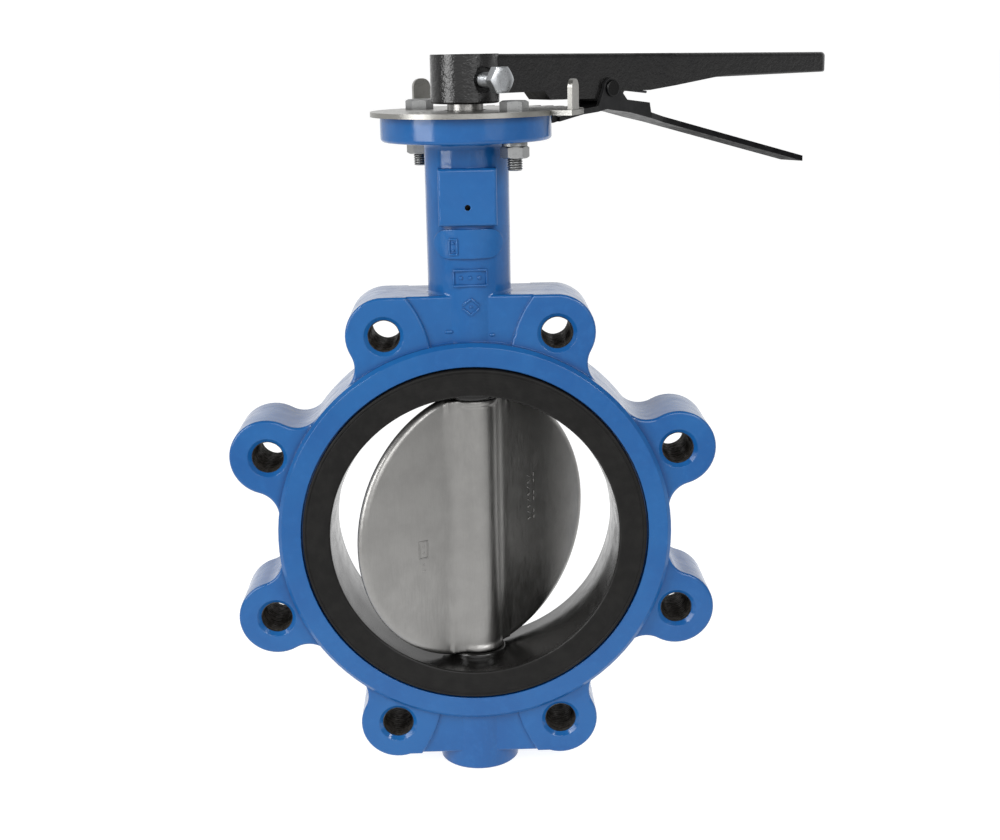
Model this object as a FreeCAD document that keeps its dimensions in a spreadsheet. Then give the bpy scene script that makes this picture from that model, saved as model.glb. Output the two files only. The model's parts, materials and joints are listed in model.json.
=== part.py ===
import FreeCAD, Part
import math
import os

import Sketcher

# Lug-type resilient-seated butterfly valve, nominal bore 150 mm, with a notched hand lever.
# Origin: centre of the disc. +Z up the stem, +Y along the pipe, millimetres and degrees.

DRIVING_SIZES = [
    ("ring_r", 107.0, "outer radius of the body ring"),
    ("core_half", 22.0, "half depth of lugs and webs along the pipe"),
    ("face_half", 27.0, "half depth of the raised ring face"),
    ("face_bevel", 2.0, "bevel round the raised ring face"),
    ("seat_bore_r", 86.5, "bore of the body behind the liner"),
    ("recess_r", 94.6, "radius of the liner's recess in the ring face"),
    ("recess_half", 22.5, "half distance between the recess floors"),
    ("lug_pcd", 240.0, "pitch circle of the pipe bolts"),
    ("lug_count", 8, "number of lugs"),
    ("lug_r", 20.6, "radius of a lug"),
    ("lug_hole_r", 8.65, "tapping radius of the M20 lug holes"),
    ("lug_hole_bevel", 2.1, "mouth chamfer of the lug holes"),
    ("lug_blend_r", 14.0, "blend from lug to ring"),
    ("web_drop", 1.0, "how far the bottom web stays inside the lugs"),
    ("sink_deep", 1.8, "step of the web faces behind the lug faces"),
    ("sink_wide", 34.5, "half width of that step at the web's edge"),
    ("sink_narrow", 20.5, "half width of that step inside the ring"),
    ("sink_base", 98.0, "where the step ends inside the ring"),
    ("sink_side_r", 65.0, "curve of the step's sides round the lugs"),
    ("cast_edge_r", 1.5, "rounded outer edges of lugs and webs"),
    ("neck_r", 22.3, "outer radius of neck and bottom boss"),
    ("neck_blend_r", 4.0, "blend from neck to top flange"),
    ("neck_foot_r", 1.4, "blend from neck to top web"),
    ("flange_bottom", 211.0, "underside of the top flange"),
    ("flange_top", 224.0, "top of the top flange"),
    ("flange_r", 45.0, "radius of the top flange"),
    ("flange_edge_r", 2.0, "rounded lower edge of the top flange"),
    ("flange_pcd", 70.0, "pitch circle of the top flange holes"),
    ("flange_hole_r", 4.5, "radius of the top flange holes"),
    ("flange_hole_turn", 45.0, "angle of the first top flange hole"),
    ("flange_hole_count", 4, "number of top flange holes"),
    ("boss_bottom", 140.5, "depth of the bottom boss below the axis"),
    ("stem_bore_r", 12.05, "bore for stem, bushes and seals"),
    ("top_recess_r", 14.2, "recess for thrust washer and circlip"),
    ("top_recess_floor", 219.0, "floor of that recess"),
    ("plug_bore_r", 15.0, "bore for the bottom plug"),
    ("plug_floor", 126.0, "end of the plug bore, below the axis"),
    ("pad_half", 15.2, "half width of the neck's flat pad"),
    ("pad_low", 168.5, "lower end of the pad"),
    ("pad_high", 198.0, "upper end of the pad"),
    ("pad_front", 24.7, "front of the pad"),
    ("pad_edge_r", 1.6, "rounded edges of the pad"),
    ("pad_hole_r", 1.5, "small blind hole in the pad"),
    ("pad_hole_z", 178.0, "height of that hole"),
    ("pad_hole_depth", 9.0, "depth of that hole"),
    ("badge_z", 159.0, "height of the blank oval badge"),
    ("badge_half", 10.7, "half length of its straight part"),
    ("badge_end_r", 7.6, "radius of its ends"),
    ("badge_front_r", 23.9, "radius of its face round the neck axis"),
    ("badge_block_r", 40.0, "beyond anything on the neck"),
    ("liner_bore_r", 77.0, "bore of the rubber seat"),
    ("liner_crown_half", 11.0, "half width of the straight bore"),
    ("liner_lip_r", 78.6, "radius of the seat's mouth"),
    ("liner_lip_round", 1.2, "rounding of the mouth and rim"),
    ("liner_face_r", 94.0, "outer radius of the seat's face"),
    ("liner_face_half", 28.0, "half depth over the seat's faces"),
    ("liner_back_r", 86.4, "back of the seat"),
    ("liner_back_half", 22.6, "back of the seat's face flange"),
    ("liner_boss_r", 16.0, "round boss of the seat at each stem"),
    ("liner_boss_flat", 73.15, "flat of that boss, from the axis"),
    ("liner_boss_round", 1.5, "rounded edge of that boss"),
    ("liner_boss_root", 84.4, "root of that boss inside the seat, from the axis"),
    ("disc_r", 76.9, "radius of the disc"),
    ("disc_mid_half", 5.0, "half thickness beside the hub"),
    ("disc_edge_half", 3.4, "half thickness near the rim"),
    ("disc_land_r", 73.0, "where the rim's rounding starts"),
    ("disc_hub_r", 13.4, "radius of the disc's hub"),
    ("disc_hub_half", 73.0, "half length of the hub"),
    ("disc_blend_r", 14.0, "blend from hub to plate"),
    ("disc_flat_r", 17.0, "radius of the flat beside the hub's end"),
    ("collar_r", 14.5, "collar at each end of the hub"),
    ("collar_tall", 3.6, "height of the collar"),
    ("collar_round", 1.1, "rounded edge of the collar"),
    ("stem_r", 9.45, "radius of both stems"),
    ("stem_fit", 0.05, "radial running clearance of the stems"),
    ("square_side", 14.0, "side of the square drives"),
    ("square_fit", 0.05, "clearance on each side of a square"),
    ("stem_low", 32.0, "lower end of the upper stem, inside the disc"),
    ("stem_square_low", 58.0, "end of the lower square"),
    ("stem_square_high", 229.6, "start of the upper square"),
    ("stem_top", 253.0, "top of the upper stem"),
    ("stem_bevel", 0.8, "bevel of the stem ends"),
    ("pin_stem_top", 46.0, "inner end of the lower stem, below the axis"),
    ("pin_stem_end", 124.0, "outer end of the lower stem, below the axis"),
    ("bush_r", 12.0, "outer radius of the bushes"),
    ("bush_gap", 0.05, "running clearance inside the bushes"),
    ("low_bush_start", 92.0, "bushes beside the ring, near end"),
    ("low_bush_end", 118.0, "bushes beside the ring, far end"),
    ("top_bush_start", 192.0, "upper bush, lower end"),
    ("top_bush_end", 217.5, "upper bush, upper end"),
    ("seal_r", 1.22, "section radius of the stem seals"),
    ("seal_low", 184.0, "height of the lower stem seal"),
    ("seal_pitch", 4.0, "distance between the stem seals"),
    ("washer_top", 220.9, "top of the thrust washer"),
    ("clip_low", 221.2, "underside of the stem circlip"),
    ("clip_thick", 1.3, "thickness of the stem circlip"),
    ("clip_r", 12.6, "outer radius of the stem circlip"),
    ("clip_groove_r", 8.5, "floor of the circlip groove"),
    ("clip_gap", 0.05, "clearance of the circlip in its groove"),
    ("plug_r", 14.9, "radius of the bottom plug"),
    ("plug_end", 139.0, "lower face of the plug, below the axis"),
    ("plug_socket", 5.0, "half width across flats of the plug's socket"),
    ("plug_socket_deep", 6.0, "depth of that socket"),
    ("gasket_thick", 1.2, "thickness of the plug's gasket"),
    ("plate_thick", 2.5, "thickness of the notch plate"),
    ("plate_r", 50.0, "round part of the notch plate"),
    ("sector_r", 62.0, "notched sector of the plate"),
    ("sector_start", -30.0, "angle where the sector starts"),
    ("sector_end", 120.0, "angle where the sector ends"),
    ("plate_bore_r", 11.0, "stem hole of the plate"),
    ("notch_count", 11, "notches from shut to open"),
    ("notch_half", 2.7, "half width of a notch"),
    ("notch_floor_r", 55.4, "floor of the notches"),
    ("travel", 90.0, "turn of the valve from shut to open"),
    ("tab_r", 60.0, "radius of the stop tabs"),
    ("tab_half", 5.0, "half width of a stop tab"),
    ("tab_tall", 18.0, "height of a stop tab above the flange"),
    ("tab_round", 4.5, "rounded top corners of a stop tab"),
    ("tab_first", -24.0, "angle of the first stop tab"),
    ("tab_last", 114.0, "angle of the last stop tab"),
    ("bolt_r", 3.95, "radius of an M8 thread"),
    ("bolt_hole_r", 4.0, "bore of M8 nuts and washers"),
    ("hex_half", 6.5, "half width across flats of M8 heads and nuts"),
    ("head_tall", 5.3, "height of an M8 head"),
    ("nut_tall", 6.3, "height of an M8 nut"),
    ("washer_thick", 1.9, "thickness of a spring washer"),
    ("washer_r", 6.6, "outer radius of a spring washer"),
    ("washer_slit", 0.9, "half width of its slit"),
    ("bolt_tail", 6.2, "bolt end below the nut"),
    ("turn_now", 36.0, "how far the valve stands open"),
    ("hub_r", 18.0, "lever hub"),
    ("hub_low", 230.0, "underside of the lever hub"),
    ("lever_top", 255.0, "top of the lever hub"),
    ("lever_end_top", 251.5, "top of the grip's end"),
    ("grip_end", 271.0, "end of the grip from the stem"),
    ("grip_end_low", 239.6, "underside of the grip's end"),
    ("grip_start", 171.0, "start of the grip's underside"),
    ("grip_start_low", 238.8, "underside of the grip's start"),
    ("heel_end", 100.5, "end of the lever's heel"),
    ("heel_slant", 3.0, "slant of the heel's end"),
    ("belly_low", 233.0, "level underside between heel and grip"),
    ("belly_end", 122.0, "end of that level part"),
    ("heel_low", 229.4, "underside of the heel"),
    ("heel_start", 50.0, "start of the heel"),
    ("arch_start", 19.0, "arch over the plate, near end"),
    ("arch_end", 46.0, "arch over the plate, far end"),
    ("arch_low", 234.7, "height of that arch"),
    ("root_half", 11.0, "half width of the lever at its hub"),
    ("waist_half", 9.0, "half width of the lever at the trigger"),
    ("waist_start", 56.0, "start of the waist"),
    ("waist_end", 112.0, "end of the waist"),
    ("grip_half", 12.5, "half width of the grip"),
    ("grip_wide_at", 140.0, "where the grip has its full width"),
    ("grip_corner_r", 7.0, "rounded corners of the grip's end"),
    ("lever_edge_r", 2.4, "rounded edges of the lever"),
    ("screw_z", 242.0, "height of the hub screw"),
    ("screw_inner", 7.2, "inner end of the hub screw"),
    ("screw_neck", 28.0, "back of the hub screw's head"),
    ("spot_face", 16.2, "flat on the hub round the screw"),
    ("pivot_x", 92.0, "trigger pin from the stem"),
    ("pivot_z", 235.0, "height of the trigger pin"),
    ("pin_r", 2.95, "radius of the trigger pin"),
    ("pin_hole_r", 3.0, "pin bore in lever and trigger"),
    ("pin_head_r", 4.6, "head of the pin"),
    ("pin_head_thick", 1.6, "thickness of that head"),
    ("pin_reach", 13.2, "pin end beyond the lever's middle"),
    ("pin_groove_r", 2.2, "groove for the pin's clip"),
    ("pin_clip_r", 4.4, "outer radius of the clip"),
    ("pin_clip_thick", 0.8, "thickness of the clip"),
    ("slot_start", 84.0, "spring slot in the lever, near end"),
    ("slot_end", 114.0, "spring slot in the lever, far end"),
    ("slot_half", 4.0, "half width of the spring slot"),
    ("slot_top", 242.0, "roof of the spring slot"),
    ("strap_thick", 3.3, "thickness of the trigger strap"),
    ("strap_half", 9.0, "half width of the trigger's long arm"),
    ("strap_end", 253.0, "end of the trigger's long arm"),
    ("strap_end_low", 185.6, "underside of that end"),
    ("strap_mid_low", 224.6, "underside of the strap below the pin"),
    ("tooth_out", 60.6, "outer face of the tooth"),
    ("tooth_in", 57.4, "inner face of the tooth"),
    ("tooth_top", 223.7, "top of the tooth"),
    ("tooth_half", 2.3, "half width of the tooth"),
    ("tooth_arm_low", 217.3, "underside of the strap at the tooth"),
    ("tooth_arm_half", 6.0, "half width of the strap's short arm"),
    ("ear_in", 9.3, "inner face of the trigger's ears"),
    ("ear_out", 11.6, "outer face of the ears"),
    ("ear_r", 5.6, "rounded top of the ears"),
    ("ear_start", 82.0, "foot of the ears, near end"),
    ("ear_end", 122.0, "foot of the ears, far end"),
    ("cheek_start", 103.5, "where the ears drop to low cheeks"),
    ("cheek_start_top", 228.4, "top of the cheeks there"),
    ("cheek_end", 120.5, "end of the cheeks"),
    ("cheek_end_top", 226.2, "top of the cheeks at that end"),
    ("ear_fade", 11.2, "length over which the strap narrows past the ears"),
    ("tooth_shoulder", 4.3, "half width of the strap's nose at the tooth"),
    ("spring_wire_r", 0.7, "wire radius of the trigger spring"),
    ("spring_r", 4.5, "coil radius of the trigger spring"),
    ("spring_turns", 3.0, "turns of the trigger spring"),
    ("spring_pitch", 1.6, "pitch of its coil"),
    ("spring_reach", 116.0, "far end of the spring's legs"),
    ("spring_high_leg", 231.6, "height of the leg under the lever"),
    ("spring_low_leg", 223.1, "height of the leg on the strap"),
    ("beyond", 1.0, "how far a cutting profile runs past the solid"),
]

ROLE_OF_AXIS = {"x": "X_Axis", "y": "Y_Axis", "z": "Z_Axis"}
FULL_TURN = 360.0
HEX_SIDES = 6


class Size:
    """A number together with the spreadsheet expression that gives it."""

    def __init__(self, value, text):
        self.value = value
        self.text = text

    def __add__(self, other):
        other = as_size(other)
        return Size(self.value + other.value, f"({self.text} + {other.text})")

    def __sub__(self, other):
        other = as_size(other)
        return Size(self.value - other.value, f"({self.text} - {other.text})")

    def __mul__(self, other):
        other = as_size(other)
        return Size(self.value * other.value, f"({self.text} * {other.text})")

    def __truediv__(self, other):
        other = as_size(other)
        return Size(self.value / other.value, f"({self.text} / {other.text})")

    def __neg__(self):
        return Size(-self.value, f"(0 - {self.text})")


def as_size(number):
    if isinstance(number, Size):
        return number
    return Size(float(number), f"({number})")


def cosine(angle):
    angle = as_size(angle)
    return Size(math.cos(math.radians(angle.value)), f"cos({angle.text})")


def sine(angle):
    angle = as_size(angle)
    return Size(math.sin(math.radians(angle.value)), f"sin({angle.text})")


def square_root(size):
    return Size(math.sqrt(size.value), f"sqrt({size.text})")


def other_leg(hypotenuse, leg):
    """The third side of a right-angled triangle."""
    return square_root(hypotenuse * hypotenuse - leg * leg)


class Dimensions:
    """The spreadsheet of driving sizes; each one is read as an attribute."""

    def __init__(self, document):
        sheet = document.addObject("Spreadsheet::Sheet", "Dims")
        for row, (alias, value, meaning) in enumerate(DRIVING_SIZES, start=1):
            sheet.set(f"A{row}", alias)
            sheet.set(f"B{row}", str(value))
            sheet.set(f"C{row}", meaning)
            sheet.setAlias(f"B{row}", alias)
            setattr(self, alias, Size(float(value), f"Dims.{alias}"))


doc = FreeCAD.newDocument("ButterflyValve")
dim = Dimensions(doc)
doc.recompute()


# ---------------------------------------------------------------- building helpers

def new_body(label, turned=False):
    """A PartDesign body; the lever's and the disc's pieces are turned with the stem."""
    body = doc.addObject("PartDesign::Body", label)
    body.Label = label
    if turned:
        body.setExpression("Placement.Rotation.Angle", dim.turn_now.text)
        body.Placement = FreeCAD.Placement(
            FreeCAD.Vector(0, 0, 0), FreeCAD.Rotation(FreeCAD.Vector(0, 0, 1), dim.turn_now.value))
    return body


def origin_part(body, role):
    return next(item for item in body.Origin.OriginFeatures if item.Role == role)


def new_sketch(body, name, plane, lift=None):
    """A sketch on an origin plane, lifted along the plane's normal."""
    sketch = body.newObject("Sketcher::SketchObject", f"{body.Label}_{name}")
    sketch.AttachmentSupport = [(origin_part(body, plane + "_Plane"), "")]
    sketch.MapMode = "FlatFace"
    if lift is not None:
        sketch.AttachmentOffset = FreeCAD.Placement(
            FreeCAD.Vector(0, 0, lift.value), FreeCAD.Rotation())
        sketch.setExpression("AttachmentOffset.Base.z", lift.text)
    return sketch


def constrain(sketch, name, size, kind, *where):
    index = sketch.addConstraint(Sketcher.Constraint(kind, *where, size.value))
    sketch.renameConstraint(index, name)
    sketch.setExpression(f"Constraints.{name}", size.text)


def place_point(sketch, geometry, position, x, y):
    constrain(sketch, f"x{geometry}_{position}", as_size(x), "DistanceX", -1, 1, geometry, position)
    constrain(sketch, f"y{geometry}_{position}", as_size(y), "DistanceY", -1, 1, geometry, position)


def add_circle(sketch, x, y, radius):
    x, y = as_size(x), as_size(y)
    centre = FreeCAD.Vector(x.value, y.value, 0)
    index = sketch.addGeometry(Part.Circle(centre, FreeCAD.Vector(0, 0, 1), radius.value), False)
    place_point(sketch, index, 3, x, y)
    constrain(sketch, f"r{index}", radius, "Radius", index)


def add_outline(sketch, corners):
    """A closed outline. A corner is (x, y), or (x, y, r) where an arc of radius r leads to the
    next corner, centred on the left of that step, or on the right where r is negative."""
    points = [(as_size(corner[0]), as_size(corner[1])) for corner in corners]
    indices = []
    for number, corner in enumerate(corners):
        start = FreeCAD.Vector(points[number][0].value, points[number][1].value, 0)
        following = points[(number + 1) % len(points)]
        end = FreeCAD.Vector(following[0].value, following[1].value, 0)
        if len(corner) == 2:
            indices.append((sketch.addGeometry(Part.LineSegment(start, end), False), 1, 2))
            continue
        radius = corner[2]
        chord = end - start
        left = FreeCAD.Vector(-chord.y, chord.x, 0).normalize()
        rise = math.sqrt(max(radius.value ** 2 - chord.Length ** 2 / 4.0, 0.0))
        centre = (start + end) * 0.5 + left * math.copysign(rise, radius.value)
        anticlockwise = radius.value > 0
        first, last = (start, end) if anticlockwise else (end, start)
        circle = Part.Circle(centre, FreeCAD.Vector(0, 0, 1), abs(radius.value))
        arc = Part.ArcOfCircle(circle, *[
            math.atan2(point.y - centre.y, point.x - centre.x) for point in (first, last)])
        index = sketch.addGeometry(arc, False)
        indices.append((index, 1, 2) if anticlockwise else (index, 2, 1))
        size = radius if anticlockwise else -radius
        constrain(sketch, f"r{index}", size, "Radius", index)
    for number, (index, start_position, _) in enumerate(indices):
        previous, _, end_position = indices[number - 1]
        sketch.addConstraint(
            Sketcher.Constraint("Coincident", previous, end_position, index, start_position))
        place_point(sketch, index, start_position, *points[number])


def add_rectangle(sketch, left, low, right, high):
    add_outline(sketch, [(left, low), (right, low), (right, high), (left, high)])


def add_hexagon(sketch, x, y, half_width):
    """A hexagon with two flats square to the sketch's Y axis."""
    reach = as_size(half_width) / cosine(30.0)
    x, y = as_size(x), as_size(y)
    step = FULL_TURN / HEX_SIDES
    add_outline(sketch, [
        (x + reach * cosine(step * side), y + reach * sine(step * side))
        for side in range(HEX_SIDES)])


def settle(feature, cuts):
    """Recompute, and stop where a cut removed nothing or a feature failed."""
    before = feature.BaseFeature.Shape.Volume if feature.BaseFeature else 0.0
    doc.recompute()
    if "Invalid" in feature.State or "Error" in feature.State or feature.Shape.isNull():
        raise RuntimeError(f"{feature.Name} failed")
    if cuts and feature.Shape.Volume >= before:
        raise RuntimeError(f"{feature.Name} cuts nothing")
    return feature


def extrude(kind, body, sketch, name, length, both_ways=False, flip=False):
    feature = body.newObject(kind, f"{body.Label}_{name}")
    feature.Profile = sketch
    if length is None:
        feature.Type = "ThroughAll"
    else:
        feature.Length = as_size(length).value
        feature.setExpression("Length", as_size(length).text)
    if both_ways:
        feature.SideType = "Symmetric"
    feature.Reversed = flip
    return settle(feature, kind == "PartDesign::Pocket")


def pad(body, sketch, name, length, **options):
    return extrude("PartDesign::Pad", body, sketch, name, length, **options)


def pocket(body, sketch, name, length=None, **options):
    return extrude("PartDesign::Pocket", body, sketch, name, length, **options)


def turn_profile(kind, body, sketch, name):
    """Revolve or groove a profile round the sketch's own vertical axis."""
    feature = body.newObject(kind, f"{body.Label}_{name}")
    feature.Profile = sketch
    feature.ReferenceAxis = (sketch, ["V_Axis"])
    feature.Angle = FULL_TURN
    return settle(feature, kind == "PartDesign::Groove")


def revolve(body, sketch, name):
    return turn_profile("PartDesign::Revolution", body, sketch, name)


def groove(body, sketch, name):
    return turn_profile("PartDesign::Groove", body, sketch, name)


def repeat_round(body, feature, name, axis, count):
    pattern = body.newObject("PartDesign::PolarPattern", f"{body.Label}_{name}")
    pattern.Originals = [feature]
    pattern.Axis = (origin_part(body, ROLE_OF_AXIS[axis]), [""])
    pattern.Angle = FULL_TURN
    pattern.Occurrences = int(as_size(count).value)
    pattern.setExpression("Occurrences", as_size(count).text)
    body.Tip = pattern
    return settle(pattern, False)


def dress_edges(kind, body, name, size, wanted):
    """Fillet or chamfer the edges of the body for which wanted(edge) is true."""
    base = body.Tip
    names = [f"Edge{number}" for number, edge in enumerate(base.Shape.Edges, start=1) if wanted(edge)]
    if not names:
        raise RuntimeError(f"{body.Label}_{name} found no edges")
    feature = body.newObject(kind, f"{body.Label}_{name}")
    feature.Base = (base, names)
    value = "Radius" if kind == "PartDesign::Fillet" else "Size"
    setattr(feature, value, size.value)
    feature.setExpression(value, size.text)
    return settle(feature, False)


def round_edges(body, name, radius, wanted):
    return dress_edges("PartDesign::Fillet", body, name, radius, wanted)


def bevel_edges(body, name, size, wanted):
    return dress_edges("PartDesign::Chamfer", body, name, size, wanted)


def near(first, second, slack=0.01):
    return abs(first - as_size(second).value) < slack


def is_circle(edge, radius, axis=None):
    """True for an edge on a circle of this radius, lying square to the named axis."""
    if not isinstance(edge.Curve, Part.Circle) or not near(edge.Curve.Radius, radius):
        return False
    return axis is None or near(abs(getattr(edge.Curve.Axis, axis)), 1.0)


def runs_along(edge, axis):
    """True for a straight edge parallel to the named axis."""
    if not isinstance(edge.Curve, (Part.Line, Part.LineSegment)):
        return False
    return near(abs(getattr(edge.tangentAt(edge.FirstParameter), axis)), 1.0, 1e-4)


# ---------------------------------------------------------------- the valve body

def lug_centre(number):
    """Centre of a lug in the plane across the pipe; lug 0 is the first right of the stem."""
    step = as_size(FULL_TURN) / dim.lug_count
    angle = as_size(90.0) - step / 2 - step * number
    return dim.lug_pcd / 2 * cosine(angle), dim.lug_pcd / 2 * sine(angle)


def add_lugs(body):
    sketch = new_sketch(body, "lug", "XZ")
    add_circle(sketch, *lug_centre(0), dim.lug_r)
    lug = pad(body, sketch, "lug_pad", dim.core_half * 2, both_ways=True)
    repeat_round(body, lug, "lugs", "y", dim.lug_count)
    corner_r = dim.ring_r.value

    def in_the_corner(edge):
        middle = edge.CenterOfMass
        return runs_along(edge, "y") and near(math.hypot(middle.x, middle.z), corner_r)

    round_edges(body, "lug_blend", dim.lug_blend_r, in_the_corner)


def add_webs(body):
    """Straight webs that join the two top lugs and the two bottom lugs."""
    side, height = lug_centre(0)
    top = height + dim.lug_r
    bottom = -(top - dim.web_drop)
    for name, low, high in (("top", height - dim.lug_r, top), ("bottom", bottom, -height + dim.lug_r)):
        sketch = new_sketch(body, name + "_web", "XZ")
        add_rectangle(sketch, -side, low, side, high)
        pad(body, sketch, name + "_web_pad", dim.core_half * 2, both_ways=True)


def sink_webs(body):
    """Step both faces of the webs back, so that the lugs and the stem's neck stand proud."""
    height = lug_centre(0)[1]
    wide, narrow, base, turn = dim.sink_wide, dim.sink_narrow, dim.sink_base, -dim.sink_side_r
    edge = height + dim.lug_r + dim.beyond
    for web, corners in (
            ("top", [(-narrow, base), (narrow, base, turn), (wide, edge), (-wide, edge, turn)]),
            ("bottom", [(narrow, -base), (-narrow, -base, turn), (-wide, -edge), (wide, -edge, turn)])):
        for face, lift, flip in (("front", dim.core_half, False), ("back", -dim.core_half, True)):
            sketch = new_sketch(body, f"{web}_{face}_step", "XZ", lift)
            add_outline(sketch, corners)
            pocket(body, sketch, f"{web}_{face}_step_cut", dim.sink_deep, flip=flip)


def round_lug_outline(body):
    """Round the outline of lugs and webs on both faces, before the raised ring goes on."""
    half, stepped = dim.core_half.value, (dim.core_half - dim.sink_deep).value
    height = lug_centre(0)[1].value

    def is_outline(edge):
        middle = edge.CenterOfMass
        straight = runs_along(edge, "x")
        if near(abs(middle.y), stepped):
            return straight and abs(middle.z) > height
        return near(abs(middle.y), half) and not runs_along(edge, "y") and not (straight and abs(middle.z) < height)

    round_edges(body, "cast_edges", dim.cast_edge_r, is_outline)


def add_raised_ring(body):
    sketch = new_sketch(body, "ring_face", "XZ")
    add_circle(sketch, 0, 0, dim.ring_r)
    pad(body, sketch, "ring_face_pad", dim.face_half * 2, both_ways=True)
    bevel_edges(body, "ring_bevel", dim.face_bevel,
                lambda edge: is_circle(edge, dim.ring_r)
                and near(abs(edge.CenterOfMass.y), dim.face_half))


def add_neck(body):
    neck = new_sketch(body, "neck", "XY")
    add_circle(neck, 0, 0, dim.neck_r)
    pad(body, neck, "neck_pad", dim.flange_bottom)
    boss = new_sketch(body, "boss", "XY")
    add_circle(boss, 0, 0, dim.neck_r)
    pad(body, boss, "boss_pad", dim.boss_bottom, flip=True)
    flange = new_sketch(body, "flange", "XY", dim.flange_bottom)
    add_circle(flange, 0, 0, dim.flange_r)
    pad(body, flange, "flange_pad", dim.flange_top - dim.flange_bottom)
    round_edges(body, "flange_edge", dim.flange_edge_r,
                lambda edge: is_circle(edge, dim.flange_r) and near(edge.CenterOfMass.z, dim.flange_bottom))
    round_edges(body, "neck_blend", dim.neck_blend_r,
                lambda edge: is_circle(edge, dim.neck_r) and near(edge.CenterOfMass.z, dim.flange_bottom))
    web_top = (lug_centre(0)[1] + dim.lug_r).value
    round_edges(body, "neck_foot", dim.neck_foot_r,
                lambda edge: is_circle(edge, dim.neck_r) and near(edge.CenterOfMass.z, web_top))
    bevel_edges(body, "boss_bevel", dim.stem_bevel,
                lambda edge: is_circle(edge, dim.neck_r) and near(edge.CenterOfMass.z, -dim.boss_bottom))


def add_neck_details(body):
    """The flat pad with its blind hole and the blank oval badge, both on the front."""
    flat = new_sketch(body, "pad", "XZ")
    add_rectangle(flat, -dim.pad_half, dim.pad_low, dim.pad_half, dim.pad_high)
    pad(body, flat, "pad_pad", dim.pad_front)
    front = -dim.pad_front.value
    round_edges(body, "pad_edges", dim.pad_edge_r,
                lambda edge: near(edge.CenterOfMass.y, front) and isinstance(edge.Curve, Part.Line))
    badge = new_sketch(body, "badge", "XZ")
    low, high = dim.badge_z - dim.badge_end_r, dim.badge_z + dim.badge_end_r
    add_outline(badge, [(-dim.badge_half, low), (dim.badge_half, low, dim.badge_end_r),
                        (dim.badge_half, high), (-dim.badge_half, high, dim.badge_end_r)])
    pad(body, badge, "badge_pad", dim.badge_block_r)
    trim = new_sketch(body, "badge_trim", "XY", low)
    add_circle(trim, 0, 0, dim.badge_front_r)
    add_circle(trim, 0, 0, dim.badge_block_r * 2)
    pocket(body, trim, "badge_face", dim.badge_end_r * 2, flip=True)
    hole = new_sketch(body, "pad_hole", "XZ", dim.pad_front)
    add_circle(hole, 0, dim.pad_hole_z, dim.pad_hole_r)
    pocket(body, hole, "pad_hole_cut", dim.pad_hole_depth)


def cut_bores(body):
    outside = dim.face_half + dim.core_half
    seat = new_sketch(body, "seat", "XY")
    add_outline(seat, [
        (0, -outside), (dim.recess_r, -outside), (dim.recess_r, -dim.recess_half),
        (dim.seat_bore_r, -dim.recess_half), (dim.seat_bore_r, dim.recess_half),
        (dim.recess_r, dim.recess_half), (dim.recess_r, outside), (0, outside)])
    groove(body, seat, "seat_bore")
    stem = new_sketch(body, "stem_bore", "XZ")
    add_outline(stem, [
        (0, -dim.boss_bottom), (dim.plug_bore_r, -dim.boss_bottom), (dim.plug_bore_r, -dim.plug_floor),
        (dim.stem_bore_r, -dim.plug_floor), (dim.stem_bore_r, dim.top_recess_floor),
        (dim.top_recess_r, dim.top_recess_floor), (dim.top_recess_r, dim.flange_top),
        (0, dim.flange_top)])
    groove(body, stem, "stem_bore_cut")


def drill_holes(body):
    lug = new_sketch(body, "lug_hole", "XZ")
    add_circle(lug, *lug_centre(0), dim.lug_hole_r)
    hole = pocket(body, lug, "lug_hole_cut", dim.core_half * 2, both_ways=True)
    repeat_round(body, hole, "lug_holes", "y", dim.lug_count)
    bevel_edges(body, "lug_hole_mouths", dim.lug_hole_bevel,
                lambda edge: is_circle(edge, dim.lug_hole_r, "y"))
    reach = dim.flange_pcd / 2 * cosine(dim.flange_hole_turn)
    flange = new_sketch(body, "flange_hole", "XY", dim.flange_top)
    add_circle(flange, reach, reach, dim.flange_hole_r)
    hole = pocket(body, flange, "flange_hole_cut", dim.flange_top - dim.flange_bottom)
    repeat_round(body, hole, "flange_holes", "z", dim.flange_hole_count)


def make_valve_body():
    body = new_body("valve_body")
    core = new_sketch(body, "core", "XZ")
    add_circle(core, 0, 0, dim.ring_r)
    pad(body, core, "core_pad", dim.core_half * 2, both_ways=True)
    add_lugs(body)
    add_webs(body)
    sink_webs(body)
    round_lug_outline(body)
    add_raised_ring(body)
    add_neck(body)
    add_neck_details(body)
    cut_bores(body)
    drill_holes(body)
    return body


# ---------------------------------------------------------------- seat, bushes and seals

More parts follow.
